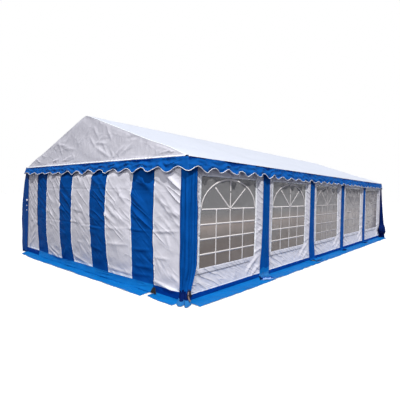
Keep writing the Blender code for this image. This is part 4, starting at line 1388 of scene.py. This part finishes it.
def skirt_patch(side, face, corners, seed):
    """A patch between two lines on the ground. Corners is a list of (across at the wall, out there,
    across at the rim, out there) in order, and points between them are interpolated. Near the wall
    the cloth climbs it in a curve, and elsewhere it rises by small waves."""
    corners = np.asarray(corners, float)
    place = np.concatenate([[0.0], np.cumsum(np.hypot(np.diff(corners[:, 0]), np.diff(corners[:, 1])))])
    t = np.linspace(0, place[-1], max(4, int(place[-1] / SKIRT_STEP)))
    inner_a, inner_o, outer_a, outer_o = (np.interp(t, place, column)[None, :] for column in corners.T)
    share = SKIRT_SHARES
    across = inner_a + (outer_a - inner_a) * share
    apart = 0.37 * (seed % 7)
    out = inner_o + (outer_o - inner_o) * share + 0.004 * billow(across, apart, seed, 0.4) * share
    climb = 0.014 * np.clip(1 - (out - face) / 0.03, 0, 1) ** 2
    wave = 0.0055 * (1 + billow(across, out * 2.5, seed + 1, 0.42).clip(-1, 1.6)) * smooth(0.02, 0.12, share)
    ruck = 0.004 * np.clip(billow(across * 1.6, out, seed + 2, 0.22), 0, 2) * smooth(0.05, 0.3, share)
    up = SKIRT_LIFT + climb + wave * 0.7 + ruck * (0.4 + 0.6 * share)
    return stand(side, across, out, up), np.stack([across, out], axis=-1)


def skirt_piece(side, patches, seed):
    """Several patches as one piece: the parts between slits."""
    face = (END_FACE if side in ENDS else SIDE_FACE) + 0.0005
    points, quads, measures, start = [], [], [], 0
    for number, corners in enumerate(patches):
        place, on_flat = skirt_patch(side, face, corners, seed + 5 * number)
        points.append(place.reshape(-1, 3))
        measures.append(on_flat.reshape(-1, 2))
        quads.append(grid_quads(*place.shape[:2]).reshape(-1, 4) + start)
        start += len(points[-1])
    points, quads, measures = [np.concatenate(group) for group in (points, quads, measures)]
    mesh = make_mesh(f"{side}_skirt_cloth", points, quads, measures)
    piece = place_piece(mesh, ["azure_and_painted_light"], "blue_cloth", f"{side}_skirt", thickness=THIN_CLOTH)


def end_patches():
    """Two short parts beside the corners and a long one under the door, with gaps below the zips. Each
    row is the place across at the wall, the place at the rim, and how wide the skirt is there."""
    rows = (
        ((-2.51, -2.30, 0.170), (-2.1, -2.02, 0.200), (-1.86, -1.84, 0.220)),
        ((-1.858, -1.838, 0.223), (-1.2, -1.2, 0.235), (0.0, 0.0, 0.235), (1.2, 1.2, 0.225),
         (1.835, 1.863, 0.235)),
        ((1.914, 1.935, 0.172), (2.2, 2.2, 0.19), (2.455, 2.455, 0.205)),
    )
    return [[(wall, END_FACE + SKIRT_IN, rim, END_FACE + wide) for wall, rim, wide in row] for row in rows]


def side_patches():
    """One part in each bay. Neighbours meet under the post covers."""
    wall, rim = SIDE_FACE + SKIRT_IN, SIDE_FACE + 0.262
    patches = []
    for low, high in zip(SIDE_STOPS[:-1], SIDE_STOPS[1:]):
        rows = ((low + SIDE_GAP, rim - 0.01), ((low + high) / 2, rim), (high - SIDE_GAP, rim - 0.01))
        patches.append([(across, wall, across, out) for across, out in rows])
    patches[0][0] = (-4.975, wall, -4.985, SIDE_FACE + 0.245)
    return patches


for number, side in enumerate(("front", "back", "right", "left")):
    patches, flat = (end_patches(), END_FLAT) if side in ENDS else (side_patches(), SIDE_FLAT)
    skirt_piece(side, patches, 500 + 20 * number)
print("four skirts")

# %% [markdown]
# ## Zips
# A zip is a dark cord of teeth down the joint of two cloths. It uses the same bulge and the same
# drift as the cloths beside it, so it stays on them.

# %% Zips
ZIP_LOW, ZIP_TOP, ZIP_OUT = 0.05, 1.72, 0.0015
ZIP_PROFILE = [(-0.002, -0.0045), (0.003, -0.003), (0.003, 0.003), (-0.002, 0.0045)]


def zip_line(side, way, seed, own_folds):
    """A thin dark bead down the joint, just outside the cloths."""
    up = np.linspace(ZIP_LOW, ZIP_TOP, 110)
    across = np.full(110, way * ZIP_LINE)
    out = END_FACE + end_bulge(across[None], up[None], seed, own_folds)[0] + ZIP_OUT
    return stand(side, across + seam_drift(across, up, seed), out, up), outward(side), ZIP_PROFILE


for side, seed, own_folds, _ in END_WALLS:
    runs = [zip_line(side, way, seed, own_folds) for way in (-1, 1)]
    carried_piece(f"{side}_zips", runs, "navy_and_painted_shade", "blue_cloth")
print("four zips")

# %% [markdown]
# ## The ends of the zips
# The zip at the right of each door ends in a black flap at the ground. A smaller black flap below the
# wrap at the near corner is a painted shadow: it stands for the deep shade in the opening there.

# %% Black flaps


def black_flap(name, side, middle, half, out, up):
    """A small flap with three pleats. Each of middle, half width, out and up is a pair: at its foot and
    at its top."""
    share = np.linspace(-1, 1, 19)[None, :]
    t = np.linspace(0, 1, 9)[:, None]
    middle, half, out, up = (pair[0] + (pair[1] - pair[0]) * t for pair in (middle, half, out, up))
    out = out + 0.10 * half * np.cos(3 * math.pi * share) + 0.012 * t * (1 - t)
    points = stand(side, middle + share * half, out, up + 0.006 * (1 - t) * np.sin(5 * share))
    mesh = make_mesh(name, points, grid_quads(*points.shape[:2]))
    piece = place_piece(mesh, ["black_rubber_and_painted_shade"], "blue_cloth", thickness=THICK_CLOTH)


for side in ENDS:
    black_flap(f"{side}_zip_flap", side, (ZIP_LINE + 0.072, ZIP_LINE + 0.060), (0.060, 0.026),
               (END_FACE + 0.062, END_FACE + 0.032), (0.020, 0.092))
# Painted shadow: a black flap set in the deep shade under the near wrap.
black_flap("corner_painted_shadow", "right", (-4.942, -4.958), (0.028, 0.012), (SIDE_FACE + 0.045, SIDE_FACE + 0.022),
           (0.070, 0.172))
print("three black flaps")

# %% [markdown]
# ## Eyelets, strap and toggles
# The wraps are laced through white eyelets, which show where a wrap has swung away from its wall. At
# the near corner the end of a strap with its buckle comes out below the wrap, and a black toggle ties
# the roof down at each corner of the eave. All of them are carried profiles, like the piping.

# %% Rings, strap and toggles
EYELETS = ((1.18, 0.014, 0.010), (1.06, 0.009, 0.004), (0.96, 0.009, 0.004))
EYELETS_PLACE = (-(SIDE_FACE - 0.088), -END_FACE - 0.040)
STRAP = [(2.545, -4.992, 0.151), (2.556, -5.008, 0.125), (2.570, -5.020, 0.100), (2.592, -5.030, 0.075),
         (2.618, -5.034, 0.055)]
STRAP_PROFILE = [(-0.001, -0.009), (0.0015, -0.009), (0.0015, 0.009), (-0.001, 0.009)]
BUCKLE_PLACE = (2.574, -5.020, 0.098)
TOGGLE_UP = 1.906

rings = []
for up, radius, thick in EYELETS:
    cos, sin = circle(12).T
    x, y = EYELETS_PLACE
    path = np.stack([x - radius * cos, np.full(12, y), up + radius * sin], axis=-1)
    rings.append((path, (0.0, 1.0, 0.0), circle(6, thick)))
carried_piece("eyelets_front_left", rings, "white_tape", "white_cloth", closed=True)

strap = carried_piece("corner_strap", [(STRAP, (0.8, -0.6, 0.3), STRAP_PROFILE)], "strap_web", "white_cloth")
cos, sin = circle(16).T
buckle = BUCKLE_PLACE + np.stack([0.012 * cos, 0.014 * cos, 0.020 * sin], axis=-1)
carried_piece("corner_buckle", [(buckle, (0.8, -0.6, 0.0), circle(6, 0.004))], "black_rubber_and_painted_shade",
              "galvanised_steel", closed=True)

t = np.linspace(-1, 1, 9)
for end, way_y in (("front", 1), ("back", -1)):
    for side, way_x in (("right", 1), ("left", -1)):
        x, y = way_x * (ROOF_EDGE - 0.030 + 0.024 * t), way_y * (-END_FACE - 0.020 + 0.004 * t)
        path = np.stack([x, y, TOGGLE_UP + 0.003 * np.cos(3 * t)], axis=-1)
        run = (path, (0.0, 0.0, 1.0), circle(8, 0.008))
        carried_piece(f"eave_toggle_{end}_{side}", [run], "black_rubber_and_painted_shade", "blue_cloth")
print("eyelets, strap, buckle and toggles")

# %% [markdown]
# ## The steel frame's finish
# The frame's own solids have the right shape, so they stay. Only their finish changes.

# %% Steel finish
tubes = [name for name in frame["nodes"] if name.startswith("cross_frame") or name.endswith("purlins")]
for name in tubes:
    frame["nodes"][name].data.materials[0] = bpy.data.materials["zinc_steel"]
print("steel nodes:", len(tubes))

# %% [markdown]
# ## Floor, sun and sky
# The floor is plain and pale. The light is a high soft sun from beside the near corner, with a
# bright even sky, so that the valance throws a scalloped shadow on the walls. A weak round lamp near
# the camera brightens the near panels. The camera sees the sky as plain white.

# %% Floor and light
FLOOR_HALF, FLOOR_DOWN = 90, -0.002
SUN_FROM = (0.58, -0.42, 1.0)
LAMP_PLACE, LAMP_FROM = (4.2, -8.4, 3.3), (1.9, -3.4, 2.3)


def add_light(name, kind, shines_from, **settings):
    """A light with its settings, turned so that it shines from a direction."""
    lamp = bpy.data.lights.new(name, kind)
    for key, value in settings.items():
        setattr(lamp, key, value)
    light = put(name, lamp)
    light.rotation_mode = "QUATERNION"
    light.rotation_quaternion = Vector(shines_from).to_track_quat("Z", "Y")
    return light


floor_mesh = bpy.data.meshes.new("floor")
SQUARE = ((-1, -1), (1, -1), (1, 1), (-1, 1))
floor_corners = [(x * FLOOR_HALF, y * FLOOR_HALF, FLOOR_DOWN) for x, y in SQUARE]
floor_mesh.from_pydata(floor_corners, [], [(0, 1, 2, 3)])
PALE_GREY = (0.92, 0.92, 0.92, 1.0)
pale, tree, shader = new_finish("pale_floor", PALE_GREY, 0.0)
plug(tree, shader, {"Base Color": PALE_GREY, "Roughness": 0.9, "Emission Color": (1.0, 1.0, 1.0, 1.0),
                    "Emission Strength": 0.22})
floor_mesh.materials.append(pale)
floor = put("floor", floor_mesh)
floor.visible_diffuse = False
floor.visible_shadow = False
floor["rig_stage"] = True

add_light("sun", "SUN", SUN_FROM, energy=3.15, angle=math.radians(1.2), color=(1.0, 0.99, 0.97))
lamp = add_light("side_panel_light", "AREA", LAMP_FROM, shape="DISK", size=1.6, energy=60.0)
lamp.location = LAMP_PLACE
lamp.visible_camera = False

world = bpy.data.worlds.new("sky")
bpy.context.scene.world = world
world.use_nodes = True
sky = world.node_tree
sky.nodes.clear()
heading = add_node(sky, "TexCoord").outputs["Generated"]
rise = remap(sky, add_node(sky, "SeparateXYZ", {0: heading}).outputs[2], -0.15, 0.25)
shine = mix(sky, rise, (0.14, 0.14, 0.16), (0.305, 0.315, 0.365))
seen = mix(sky, add_node(sky, "LightPath").outputs["Is Camera Ray"], shine, (1.0, 1.0, 1.0))
glow = add_node(sky, "Background", {"Color": seen, "Strength": 1.0}).outputs[0]
add_node(sky, "OutputWorld", {"Surface": glow})
bpy.context.scene.view_settings.view_transform = "Standard"
print("floor, sun and sky ready")

# %% [markdown]
# ## Count, measure and finish
# The triangles of each added piece are counted, and the four largest pieces are named.

# %% Measure and finish
graph = bpy.context.evaluated_depsgraph_get()
triangles = {}
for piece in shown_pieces():
    if "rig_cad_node" not in piece:
        shape = piece.evaluated_get(graph).to_mesh()
        shape.calc_loop_triangles()
        triangles[piece.name] = len(shape.loop_triangles)
largest = sorted(triangles, key=triangles.get, reverse=True)[:4]
print("added triangles:", sum(triangles.values()), "largest:", largest)
